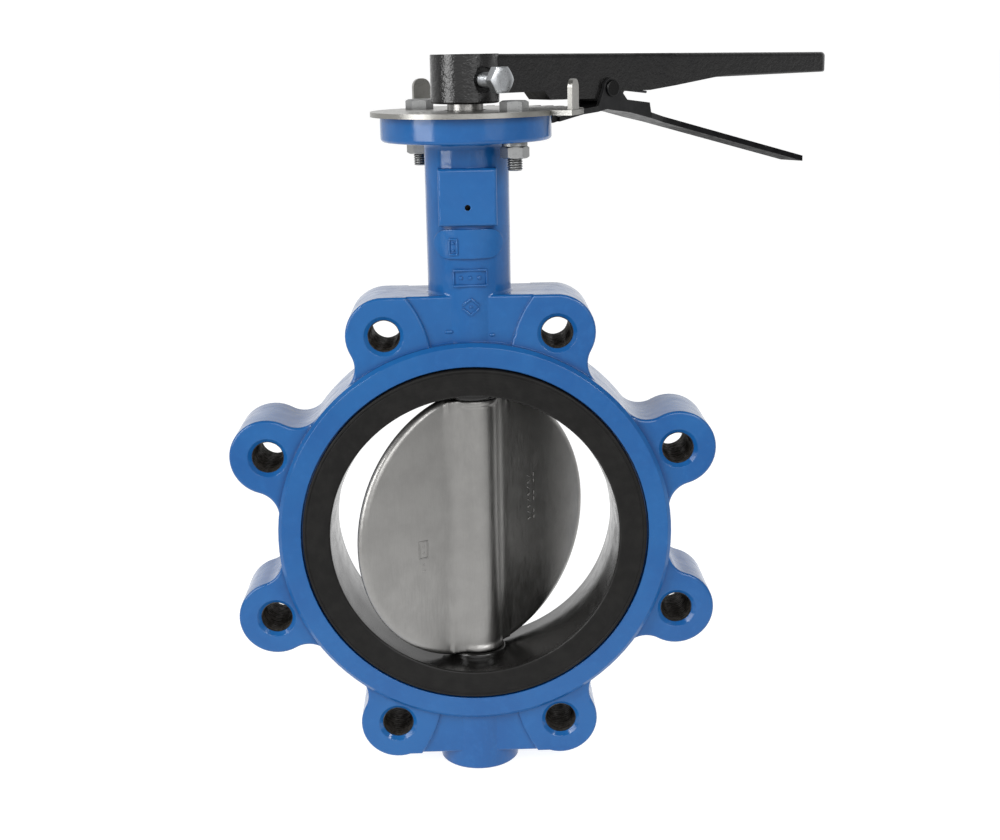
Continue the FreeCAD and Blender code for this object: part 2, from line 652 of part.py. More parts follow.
def make_seat_liner():
    """The rubber seat: a U-shaped ring that lines the bore and laps both faces."""
    body = new_body("seat_liner")
    profile = new_sketch(body, "profile", "XY")
    bore, lip, crown = dim.liner_bore_r, dim.liner_lip_r, dim.liner_crown_half
    face, soft, outer = dim.liner_face_half, dim.liner_lip_round, dim.liner_face_r
    half = [
        (bore, crown), (lip, face - soft, -soft), (lip + soft, face), (outer - soft, face, -soft),
        (outer, face - soft), (outer, dim.liner_back_half), (dim.liner_back_r, dim.liner_back_half)]
    mirrored = [(corner[0], -corner[1]) for corner in reversed(half)]
    mirrored[2] = (*mirrored[2], -soft)
    mirrored[4] = (*mirrored[4], -soft)
    add_outline(profile, half + mirrored)
    revolve(body, profile, "ring")
    for name, sign in (("upper", 1), ("lower", -1)):
        boss = new_sketch(body, name + "_boss", "XY", dim.liner_boss_flat * sign)
        add_circle(boss, 0, 0, dim.liner_boss_r)
        pad(body, boss, name + "_boss_pad", dim.liner_boss_root - dim.liner_boss_flat, flip=sign < 0)
    round_edges(body, "boss_edges", dim.liner_boss_round,
                lambda edge: is_circle(edge, dim.liner_boss_r)
                and near(abs(edge.CenterOfMass.z), dim.liner_boss_flat))
    hole = new_sketch(body, "stem_holes", "XY")
    add_circle(hole, 0, 0, dim.stem_r + dim.stem_fit)
    pocket(body, hole, "stem_holes_cut", dim.ring_r * 2, both_ways=True)
    return body


def make_sleeve(label, inner, outer, low, high, turned=False):
    """A plain ring round the stem axis."""
    body = new_body(label, turned)
    profile = new_sketch(body, "profile", "XZ")
    add_rectangle(profile, inner, low, outer, high)
    revolve(body, profile, "ring")
    return body


def make_bushes_and_washer():
    inner = dim.stem_r + dim.bush_gap
    make_sleeve("neck_bush_upper", inner, dim.bush_r, dim.top_bush_start, dim.top_bush_end)
    make_sleeve("neck_bush_lower", inner, dim.bush_r, dim.low_bush_start, dim.low_bush_end)
    make_sleeve("bottom_bush", inner, dim.bush_r, -dim.low_bush_end, -dim.low_bush_start)
    make_sleeve("thrust_washer", inner, dim.top_recess_r - dim.bush_gap,
                dim.top_recess_floor + dim.bush_gap, dim.washer_top)
    make_sleeve("plug_gasket", dim.stem_bore_r, dim.plug_r - dim.bush_gap,
                -dim.plug_floor - dim.gasket_thick, -dim.plug_floor)


def make_stem_seals():
    """Two O-rings between the bushes, kept as one group of separate solids."""
    rings = []
    for number in range(2):
        ring = doc.addObject("Part::Torus", f"stem_seal_{number}")
        ring.setExpression("Radius2", dim.seal_r.text)
        ring.setExpression("Radius1", ((dim.stem_r + dim.stem_bore_r) / 2).text)
        height = dim.seal_low + dim.seal_pitch * number
        ring.setExpression("Placement.Base.z", height.text)
        rings.append(ring)
    group = doc.addObject("Part::Compound", "stem_seals")
    group.Links = rings
    group.Label = "stem_seals"
    return group


def make_bottom_plug():
    body = new_body("bottom_plug")
    start = dim.plug_floor + dim.gasket_thick
    disc = new_sketch(body, "disc", "XY", -start)
    add_circle(disc, 0, 0, dim.plug_r)
    pad(body, disc, "disc_pad", dim.plug_end - start, flip=True)
    bevel_edges(body, "rim", dim.stem_bevel, lambda edge: is_circle(edge, dim.plug_r))
    socket = new_sketch(body, "socket", "XY", -dim.plug_end)
    add_hexagon(socket, 0, 0, dim.plug_socket)
    pocket(body, socket, "socket_cut", dim.plug_socket_deep, flip=True)
    return body


# ---------------------------------------------------------------- disc and stems

def add_square_end(body, name, start, length):
    """Cut four flats on a round stem, from start upwards for length."""
    sketch = new_sketch(body, name, "XY", start)
    half = dim.square_side / 2
    add_circle(sketch, 0, 0, dim.stem_r * 2)
    add_rectangle(sketch, -half, -half, half, half)
    pocket(body, sketch, name + "_cut", length, flip=True)


def add_collar(body, name, low, high):
    """A ring with rounded edges round the disc's hub."""
    outer, soft = dim.collar_r, dim.collar_round
    sketch = new_sketch(body, name, "XZ")
    add_outline(sketch, [
        (0, low), (outer - soft, low, soft), (outer, low + soft), (outer, high - soft, soft),
        (outer - soft, high), (0, high)])
    revolve(body, sketch, name + "_turn")


def make_disc():
    body = new_body("disc", turned=True)
    plate = new_sketch(body, "plate", "XY")
    rim_r = (dim.disc_r - dim.disc_land_r) / 2 + dim.disc_edge_half * dim.disc_edge_half / (
        (dim.disc_r - dim.disc_land_r) * 2)
    add_outline(plate, [
        (0, -dim.disc_mid_half), (dim.disc_land_r, -dim.disc_edge_half, rim_r),
        (dim.disc_r, 0, rim_r), (dim.disc_land_r, dim.disc_edge_half), (0, dim.disc_mid_half)])
    revolve(body, plate, "plate_turn")
    section = new_sketch(body, "hub", "XY")
    blend, hub, flat = dim.disc_blend_r, dim.disc_hub_r, dim.disc_edge_half + dim.beyond
    centre_y = flat + blend
    centre_x = other_leg(hub + blend, centre_y)
    share = hub / (hub + blend)
    touch_x, touch_y = centre_x * share, centre_y * share
    add_outline(section, [
        (centre_x, flat, -blend), (touch_x, touch_y, hub), (-touch_x, touch_y, -blend),
        (-centre_x, flat), (-centre_x, -flat, -blend), (-touch_x, -touch_y, hub),
        (touch_x, -touch_y, -blend), (centre_x, -flat)])
    pad(body, section, "hub_pad", dim.disc_hub_half * 2, both_ways=True)
    for name, sign in (("upper", 1), ("lower", -1)):
        flat_end = new_sketch(body, name + "_flat", "XY", dim.disc_hub_half * sign)
        add_circle(flat_end, 0, 0, dim.disc_flat_r)
        pocket(body, flat_end, name + "_flat_cut", dim.disc_r - dim.disc_hub_half, flip=sign > 0)
    add_collar(body, "upper_collar", dim.disc_hub_half - dim.collar_tall, dim.disc_hub_half)
    add_collar(body, "lower_collar", -dim.disc_hub_half, dim.collar_tall - dim.disc_hub_half)
    drive = new_sketch(body, "drive", "XY", dim.disc_hub_half)
    half = dim.square_side / 2 + dim.square_fit
    add_rectangle(drive, -half, -half, half, half)
    pocket(body, drive, "drive_cut", dim.disc_hub_half - dim.stem_low + dim.beyond)
    round_hole = new_sketch(body, "stem_hole", "XY", dim.disc_hub_half)
    add_circle(round_hole, 0, 0, dim.stem_r + dim.stem_fit)
    pocket(body, round_hole, "stem_hole_cut", dim.disc_hub_half - dim.stem_square_low)
    pin_hole = new_sketch(body, "pin_hole", "XY", -dim.disc_hub_half)
    add_circle(pin_hole, 0, 0, dim.stem_r + dim.stem_fit)
    pocket(body, pin_hole, "pin_hole_cut", dim.disc_hub_half - dim.pin_stem_top + dim.beyond, flip=True)
    return body


def make_stems():
    upper = new_body("upper_stem", turned=True)
    shaft = new_sketch(upper, "shaft", "XY", dim.stem_low)
    add_circle(shaft, 0, 0, dim.stem_r)
    pad(upper, shaft, "shaft_pad", dim.stem_top - dim.stem_low)
    add_square_end(upper, "top_square", dim.stem_square_high, dim.stem_top - dim.stem_square_high)
    add_square_end(upper, "low_square", dim.stem_low, dim.stem_square_low - dim.stem_low)
    ring = new_sketch(upper, "clip_groove", "XZ")
    low = dim.clip_low - dim.clip_gap
    add_rectangle(ring, dim.clip_groove_r, low, dim.stem_r + dim.beyond, dim.clip_low + dim.clip_thick + dim.clip_gap)
    groove(upper, ring, "clip_groove_cut")
    lower = new_body("lower_stem", turned=True)
    pin = new_sketch(lower, "shaft", "XY", -dim.pin_stem_top)
    add_circle(pin, 0, 0, dim.stem_r)
    pad(lower, pin, "shaft_pad", dim.pin_stem_end - dim.pin_stem_top, flip=True)
    bevel_edges(lower, "ends", dim.stem_bevel, lambda edge: is_circle(edge, dim.stem_r))


def add_open_ring(sketch, inner, outer, gap_half):
    """A ring with a parallel-sided gap on the sketch's +X side."""
    inner_x, outer_x = other_leg(inner, gap_half), other_leg(outer, gap_half)
    add_outline(sketch, [
        (outer_x, gap_half, outer), (-outer, 0, outer), (outer_x, -gap_half),
        (inner_x, -gap_half, -inner), (-inner, 0, -inner), (inner_x, gap_half)])


def make_stem_circlip():
    body = new_body("stem_circlip", turned=True)
    sketch = new_sketch(body, "ring", "XY", dim.clip_low)
    add_open_ring(sketch, dim.clip_groove_r + dim.clip_gap, dim.clip_r, dim.clip_thick)
    pad(body, sketch, "ring_pad", dim.clip_thick)
    return body


# ---------------------------------------------------------------- notch plate and its bolts

def add_stop_tab(body, number, angle):
    """A tab bent up from the rim, its flat sides facing the stem."""
    sketch = new_sketch(body, f"tab_{number}", "XY", dim.flange_top)
    across = dim.tab_half
    inner, outer = dim.tab_r - dim.plate_thick / 2, dim.tab_r + dim.plate_thick / 2
    corners = [(inner, -across), (outer, -across), (outer, across), (inner, across)]
    turn_x, turn_y = cosine(angle), sine(angle)
    add_outline(sketch, [(x * turn_x - y * turn_y, x * turn_y + y * turn_x) for x, y in corners])
    pad(body, sketch, f"tab_{number}_pad", dim.tab_tall)
    direction = FreeCAD.Vector(turn_x.value, turn_y.value, 0)
    top = dim.flange_top + dim.tab_tall

    def top_corner(edge):
        if not isinstance(edge.Curve, Part.Line) or not near(edge.CenterOfMass.z, top):
            return False
        along = abs(edge.tangentAt(edge.FirstParameter).dot(direction))
        return near(along, 1.0, 1e-4) and edge.CenterOfMass.dot(direction) > dim.plate_r.value

    round_edges(body, f"tab_{number}_top", dim.tab_round, top_corner)


def make_notch_plate():
    body = new_body("notch_plate")
    sketch = new_sketch(body, "outline", "XY", dim.flange_top)
    start, end = dim.sector_start, dim.sector_end
    middle = (start + end) / 2
    add_outline(sketch, [
        (dim.sector_r * cosine(start), dim.sector_r * sine(start), dim.sector_r),
        (dim.sector_r * cosine(middle), dim.sector_r * sine(middle), dim.sector_r),
        (dim.sector_r * cosine(end), dim.sector_r * sine(end)),
        (dim.plate_r * cosine(end), dim.plate_r * sine(end), dim.plate_r),
        (-dim.plate_r * cosine(middle), -dim.plate_r * sine(middle), dim.plate_r),
        (dim.plate_r * cosine(start), dim.plate_r * sine(start))])
    pad(body, sketch, "sheet", dim.plate_thick)
    notch = new_sketch(body, "notch", "XY", dim.flange_top)
    add_rectangle(notch, dim.notch_floor_r, -dim.notch_half, dim.sector_r + dim.beyond, dim.notch_half)
    cut = pocket(body, notch, "notch_cut", dim.plate_thick, flip=True)
    row = body.newObject("PartDesign::PolarPattern", "notch_plate_notches")
    row.Originals = [cut]
    row.Axis = (origin_part(body, "Z_Axis"), [""])
    row.setExpression("Angle", dim.travel.text)
    row.Angle = dim.travel.value
    row.setExpression("Occurrences", dim.notch_count.text)
    row.Occurrences = int(dim.notch_count.value)
    body.Tip = row
    settle(row, False)
    bore = new_sketch(body, "bore", "XY", dim.flange_top)
    add_circle(bore, 0, 0, dim.plate_bore_r)
    pocket(body, bore, "bore_cut", dim.plate_thick, flip=True)
    reach = dim.flange_pcd / 2 * cosine(dim.flange_hole_turn)
    hole = new_sketch(body, "bolt_hole", "XY", dim.flange_top)
    add_circle(hole, reach, reach, dim.flange_hole_r)
    drilled = pocket(body, hole, "bolt_hole_cut", dim.plate_thick, flip=True)
    repeat_round(body, drilled, "bolt_holes", "z", dim.flange_hole_count)
    for number, angle in enumerate((dim.tab_first, dim.tab_last)):
        add_stop_tab(body, number, angle)
    return body


def bolt_places():
    """The two opposite flange holes that carry bolts."""
    reach = dim.flange_pcd / 2 * cosine(dim.flange_hole_turn)
    return [(reach, -reach), (-reach, reach)]


def make_bolt(number, x, y):
    body = new_body(f"plate_bolt_{number}")
    top = dim.flange_top + dim.plate_thick
    head = new_sketch(body, "head", "XY", top)
    add_hexagon(head, x, y, dim.hex_half)
    pad(body, head, "head_pad", dim.head_tall)
    shank = new_sketch(body, "shank", "XY", top)
    add_circle(shank, x, y, dim.bolt_r)
    grip = top - dim.flange_bottom + dim.washer_thick
    pad(body, shank, "shank_pad", grip + dim.nut_tall + dim.bolt_tail, flip=True)
    bevel_edges(body, "point", dim.stem_bevel,
                lambda edge: is_circle(edge, dim.bolt_r) and edge.CenterOfMass.z < dim.flange_bottom.value)
    return body


def make_nut(number, x, y):
    body = new_body(f"plate_nut_{number}")
    top = dim.flange_bottom - dim.washer_thick
    sketch = new_sketch(body, "hexagon", "XY", top)
    add_hexagon(sketch, x, y, dim.hex_half)
    add_circle(sketch, x, y, dim.bolt_hole_r)
    pad(body, sketch, "hexagon_pad", dim.nut_tall, flip=True)
    return body


def make_lock_washer(number, x, y):
    body = new_body(f"lock_washer_{number}")
    body.setExpression("Placement.Base.x", x.text)
    body.setExpression("Placement.Base.y", y.text)
    sketch = new_sketch(body, "ring", "XY", dim.flange_bottom)
    add_open_ring(sketch, dim.bolt_hole_r, dim.washer_r, dim.washer_slit)
    pad(body, sketch, "ring_pad", dim.washer_thick, flip=True)
    return body


# ---------------------------------------------------------------- lever and trigger

def make_lever():
    body = new_body("lever", turned=True)
    side = new_sketch(body, "side", "XZ")
    add_outline(side, [
        (0, dim.arch_low), (dim.arch_end, dim.arch_low), (dim.heel_start, dim.hub_low),
        (dim.heel_end, dim.heel_low), (dim.heel_end + dim.heel_slant, dim.belly_low),
        (dim.belly_end, dim.belly_low), (dim.grip_start, dim.grip_start_low),
        (dim.grip_end, dim.grip_end_low), (dim.grip_end, dim.lever_end_top), (0, dim.lever_top)])
    pad(body, side, "side_pad", dim.grip_half * 2, both_ways=True)
    for name, sign in (("near", -1), ("far", 1)):
        waist = new_sketch(body, name + "_waist", "XY", dim.lever_top + dim.beyond)
        outside = dim.grip_half + dim.beyond
        corners = [(-1, outside), (-1, dim.root_half), (dim.arch_start, dim.root_half),
                   (dim.waist_start, dim.waist_half), (dim.waist_end, dim.waist_half),
                   (dim.grip_wide_at, dim.grip_half), (dim.grip_wide_at, outside)]
        add_outline(waist, [(x, as_size(y) * sign) for x, y in corners])
        pocket(body, waist, name + "_waist_cut")
    round_edges(body, "grip_corners", dim.grip_corner_r,
                lambda edge: runs_along(edge, "z") and near(edge.CenterOfMass.x, dim.grip_end))
    slack = dim.beyond.value
    waist, top = dim.waist_half.value - slack, dim.lever_end_top.value - slack
    grip_low, grip_start = dim.grip_end_low.value + slack, dim.grip_start.value
    grip_end = dim.grip_end.value - slack
    round_edges(body, "top_edges", dim.lever_edge_r,
                lambda edge: edge.CenterOfMass.z > top
                and (abs(edge.CenterOfMass.y) > waist or edge.CenterOfMass.x > grip_end))
    round_edges(body, "grip_edges", dim.lever_edge_r / 2,
                lambda edge: edge.CenterOfMass.z < grip_low and edge.CenterOfMass.x > grip_start
                and (abs(edge.CenterOfMass.y) > waist or edge.CenterOfMass.x > grip_end))
    hub = new_sketch(body, "hub", "XY", dim.hub_low)
    add_circle(hub, 0, 0, dim.hub_r)
    pad(body, hub, "hub_pad", dim.lever_top - dim.hub_low)
    round_edges(body, "hub_edges", dim.lever_edge_r / 2,
                lambda edge: is_circle(edge, dim.hub_r) and near(edge.CenterOfMass.z, dim.hub_low))
    cut_lever_openings(body)
    return body


def cut_lever_openings(body):
    drive = new_sketch(body, "drive", "XY", dim.lever_top)
    half = dim.square_side / 2 + dim.square_fit
    add_rectangle(drive, -half, -half, half, half)
    pocket(body, drive, "drive_cut", dim.lever_top - dim.hub_low)
    spot = new_sketch(body, "spot_face", "XZ", dim.spot_face)
    add_circle(spot, 0, dim.screw_z, dim.hex_half)
    pocket(body, spot, "spot_face_cut", dim.hub_r - dim.spot_face, flip=True)
    screw = new_sketch(body, "screw_hole", "XZ", dim.hub_r)
    add_circle(screw, 0, dim.screw_z, dim.bolt_hole_r)
    pocket(body, screw, "screw_hole_cut", dim.hub_r - dim.square_side / 2)
    pin = new_sketch(body, "pin_hole", "XZ")
    add_circle(pin, dim.pivot_x, dim.pivot_z, dim.pin_hole_r)
    pocket(body, pin, "pin_hole_cut", dim.grip_half * 2, both_ways=True)
    slot = new_sketch(body, "spring_slot", "XY", dim.heel_low - dim.beyond)
    add_rectangle(slot, dim.slot_start, -dim.slot_half, dim.slot_end, dim.slot_half)
    pocket(body, slot, "spring_slot_cut", dim.slot_top - dim.heel_low + dim.beyond, flip=True)


def make_hub_screw():
    body = new_body("hub_screw", turned=True)
    shank = new_sketch(body, "shank", "XZ", dim.screw_inner)
    add_circle(shank, 0, dim.screw_z, dim.bolt_r)
    pad(body, shank, "shank_pad", dim.screw_neck - dim.screw_inner)
    head = new_sketch(body, "head", "XZ", dim.screw_neck)
    add_hexagon(head, 0, dim.screw_z, dim.hex_half)
    pad(body, head, "head_pad", dim.head_tall)
    return body


def make_trigger():
    """A bent steel strap with two ears on the pin and a tooth that locks in the plate."""
    body = new_body("trigger", turned=True)
    thick = dim.strap_thick
    mid_top = dim.strap_mid_low + thick
    side = new_sketch(body, "side", "XZ")
    add_outline(side, [
        (dim.strap_end, dim.strap_end_low), (dim.strap_end, dim.strap_end_low + thick),
        (dim.pivot_x, mid_top), (dim.tooth_out, dim.tooth_arm_low + thick),
        (dim.tooth_out, dim.tooth_top), (dim.tooth_in, dim.tooth_top),
        (dim.tooth_in, dim.tooth_arm_low), (dim.pivot_x, dim.strap_mid_low)])
    pad(body, side, "side_pad", dim.ear_out * 2, both_ways=True)
    for name, sign in (("near", -1), ("far", 1)):
        plan = new_sketch(body, name + "_plan", "XY", dim.pivot_z)
        outside = dim.ear_out + dim.beyond
        corners = [
            (dim.tooth_in - dim.beyond, outside), (dim.tooth_in - dim.beyond, dim.tooth_half),
            (dim.tooth_out, dim.tooth_half), (dim.tooth_out, dim.tooth_shoulder),
            (dim.ear_start - dim.tooth_arm_half, dim.tooth_arm_half), (dim.ear_start, dim.ear_out),
            (dim.ear_end, dim.ear_out), (dim.ear_end + dim.ear_fade, dim.strap_half),
            (dim.strap_end + dim.beyond, dim.strap_half), (dim.strap_end + dim.beyond, outside)]
        add_outline(plan, [(x, as_size(y) * sign) for x, y in corners])
        pocket(body, plan, name + "_plan_cut")
    slope = (dim.strap_mid_low - dim.strap_end_low) / (dim.strap_end - dim.pivot_x)
    rise = (dim.strap_mid_low - dim.tooth_arm_low) / (dim.pivot_x - dim.tooth_out)
    foot = mid_top - slope * (dim.ear_end - dim.pivot_x) - thick / 2
    ear = new_sketch(body, "ear", "XZ")
    add_outline(ear, [
        (dim.ear_start, dim.strap_mid_low), (dim.ear_end, foot),
        (dim.cheek_end, dim.cheek_end_top), (dim.cheek_start, dim.cheek_start_top),
        (dim.pivot_x + dim.ear_r, dim.pivot_z, dim.ear_r), (dim.pivot_x, dim.pivot_z + dim.ear_r, dim.ear_r),
        (dim.pivot_x - dim.ear_r, dim.pivot_z)])
    pad(body, ear, "ears_pad", dim.ear_out * 2, both_ways=True)
    between = new_sketch(body, "between", "XZ")
    first, last = dim.ear_start - dim.beyond, dim.ear_end + dim.beyond
    above = dim.pivot_z + dim.ear_r + dim.beyond
    add_outline(between, [
        (first, mid_top - rise * (dim.pivot_x - first)), (dim.pivot_x, mid_top),
        (last, mid_top - slope * (last - dim.pivot_x)), (last, above), (first, above)])
    pocket(body, between, "between_cut", dim.ear_in * 2, both_ways=True)
    pin = new_sketch(body, "pin_hole", "XZ")
    add_circle(pin, dim.pivot_x, dim.pivot_z, dim.pin_hole_r)
    pocket(body, pin, "pin_hole_cut", dim.ear_out * 2, both_ways=True)
    return body


def make_trigger_pin():
    body = new_body("trigger_pin", turned=True)
    start = dim.ear_out + dim.clip_gap
    shaft = new_sketch(body, "shaft", "XZ", start)
    add_circle(shaft, dim.pivot_x, dim.pivot_z, dim.pin_r)
    pad(body, shaft, "shaft_pad", start + dim.pin_reach, flip=True)
    head = new_sketch(body, "head", "XZ", start)
    add_circle(head, dim.pivot_x, dim.pivot_z, dim.pin_head_r)
    pad(body, head, "head_pad", dim.pin_head_thick)
    round_edges(body, "head_round", dim.pin_head_thick / 2,
                lambda edge: is_circle(edge, dim.pin_head_r)
                and near(edge.CenterOfMass.y, -(start + dim.pin_head_thick)))
    ring = new_sketch(body, "clip_groove", "XZ", -(start - dim.clip_gap))
    add_circle(ring, dim.pivot_x, dim.pivot_z, dim.pin_groove_r)
    add_circle(ring, dim.pivot_x, dim.pivot_z, dim.pin_head_r)
    pocket(body, ring, "clip_groove_cut", dim.pin_clip_thick + dim.clip_gap * 2)
    return body


def make_pin_clip():
    body = new_body("pin_clip", turned=True)
    inner, outer, gap = dim.pin_groove_r + dim.clip_gap, dim.pin_clip_r, dim.pin_groove_r / 2
    sketch = new_sketch(body, "ring", "XZ", -(dim.ear_out + dim.clip_gap))
    inner_x, outer_x = other_leg(inner, gap), other_leg(outer, gap)
    x, z = dim.pivot_x, dim.pivot_z
    add_outline(sketch, [
        (x + outer_x, z + gap, outer), (x - outer, z, outer), (x + outer_x, z - gap),
        (x + inner_x, z - gap, -inner), (x - inner, z, -inner), (x + inner_x, z + gap)])
    pad(body, sketch, "ring_pad", dim.pin_clip_thick, flip=True)
    return body


def make_trigger_spring():
    """A torsion spring: a coil round the pin and two straight legs."""
    wire, coil, turns, pitch = (size.value for size in (
        dim.spring_wire_r, dim.spring_r, dim.spring_turns, dim.spring_pitch))
    length = turns * pitch
    helix = Part.makeHelix(pitch, length, coil)
    section = Part.Wire(Part.makeCircle(wire, FreeCAD.Vector(coil, 0, 0), FreeCAD.Vector(0, 1, 0)))
    shape = Part.Wire(helix).makePipeShell([section], True, True)
    reach = dim.spring_reach.value - dim.pivot_x.value
    for end, height in ((0.0, dim.spring_high_leg), (length, dim.spring_low_leg)):
        start = FreeCAD.Vector(coil, 0, end)
        drop = height.value - dim.pivot_z.value
        run = FreeCAD.Vector(reach, drop, end) - start
        leg = Part.makeCylinder(wire, run.Length, start, run)
        shape = shape.fuse(leg).fuse(Part.makeSphere(wire, start))
    spring = doc.addObject("Part::Feature", "trigger_spring")
    spring.Label = "trigger_spring"
    spring.Shape = shape
    on_pin = FreeCAD.Placement(
        FreeCAD.Vector(dim.pivot_x.value, length / 2, dim.pivot_z.value),
        FreeCAD.Rotation(FreeCAD.Vector(1, 0, 0), 90.0))
    turn = FreeCAD.Rotation(FreeCAD.Vector(0, 0, 1), dim.turn_now.value)
    spring.Placement = FreeCAD.Placement(FreeCAD.Vector(), turn).multiply(on_pin)
    return spring


# ---------------------------------------------------------------- assembly

def group_pieces(label, maker):
    """Make one piece for each plate bolt and join them as separate solids under one name."""
    pieces = [maker(number, x, y) for number, (x, y) in enumerate(bolt_places())]
    group = doc.addObject("Part::Compound", label)
    group.Links = pieces
    group.Label = label
    return group


def check_document():
    doc.recompute()
    for item in doc.Objects:
        if "Invalid" in item.State or "Error" in item.State:
            raise RuntimeError(f"{item.Name} did not recompute")


def main():
    make_valve_body()
    make_seat_liner()
    make_bushes_and_washer()
    make_stem_seals()
    make_bottom_plug()
    make_disc()
    make_stems()
    make_stem_circlip()
    make_notch_plate()
    make_lever()
    make_hub_screw()
    make_trigger()
    make_trigger_pin()
    make_pin_clip()
    make_trigger_spring()
    for label, maker in (("plate_bolts", make_bolt), ("plate_nuts", make_nut),
                         ("lock_washers", make_lock_washer)):
        group_pieces(label, maker)
    check_document()
    grouped = {link.Name for item in doc.Objects if item.TypeId == "Part::Compound" for link in item.Links}
    kinds = ("PartDesign::Body", "Part::Compound", "Part::Feature")
    nodes = [item for item in doc.Objects if item.TypeId in kinds and item.Name not in grouped]
    os.makedirs("parts", exist_ok=True)
    for node in nodes:
        if node.Shape.isNull() or not node.Shape.isValid():
            raise RuntimeError(f"{node.Label} has no valid shape")
        node.Shape.exportStep(os.path.join("parts", node.Label + ".step"))
        print(node.Label, len(node.Shape.Solids), round(node.Shape.Volume, 1))


main()
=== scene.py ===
import json
import math

import bmesh
import bpy
import numpy as np
from mathutils import Matrix, Vector
from mathutils.bvhtree import BVHTree


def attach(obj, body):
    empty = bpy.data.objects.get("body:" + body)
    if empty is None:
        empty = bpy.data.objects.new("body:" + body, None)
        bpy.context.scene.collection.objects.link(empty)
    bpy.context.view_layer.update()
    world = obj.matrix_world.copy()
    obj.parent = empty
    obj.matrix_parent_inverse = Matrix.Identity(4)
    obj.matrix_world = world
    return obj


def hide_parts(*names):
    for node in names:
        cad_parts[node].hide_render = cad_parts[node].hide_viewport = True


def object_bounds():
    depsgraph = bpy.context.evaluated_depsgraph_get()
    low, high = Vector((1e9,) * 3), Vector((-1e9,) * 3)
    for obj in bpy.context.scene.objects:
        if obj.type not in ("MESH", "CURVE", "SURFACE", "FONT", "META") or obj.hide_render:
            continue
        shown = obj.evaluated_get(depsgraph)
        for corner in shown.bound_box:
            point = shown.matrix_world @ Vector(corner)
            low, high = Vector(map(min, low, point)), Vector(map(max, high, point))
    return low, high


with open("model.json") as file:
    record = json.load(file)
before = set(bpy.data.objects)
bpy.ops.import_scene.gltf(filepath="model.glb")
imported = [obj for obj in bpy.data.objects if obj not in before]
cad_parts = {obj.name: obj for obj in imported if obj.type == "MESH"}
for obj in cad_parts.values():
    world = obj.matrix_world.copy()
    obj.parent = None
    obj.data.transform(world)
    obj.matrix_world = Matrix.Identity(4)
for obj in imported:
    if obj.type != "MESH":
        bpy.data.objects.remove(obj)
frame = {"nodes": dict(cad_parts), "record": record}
cad_low, cad_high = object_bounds()
nodes = frame["nodes"]

MM = 0.001


# ---------------------------------------------------------------- materials

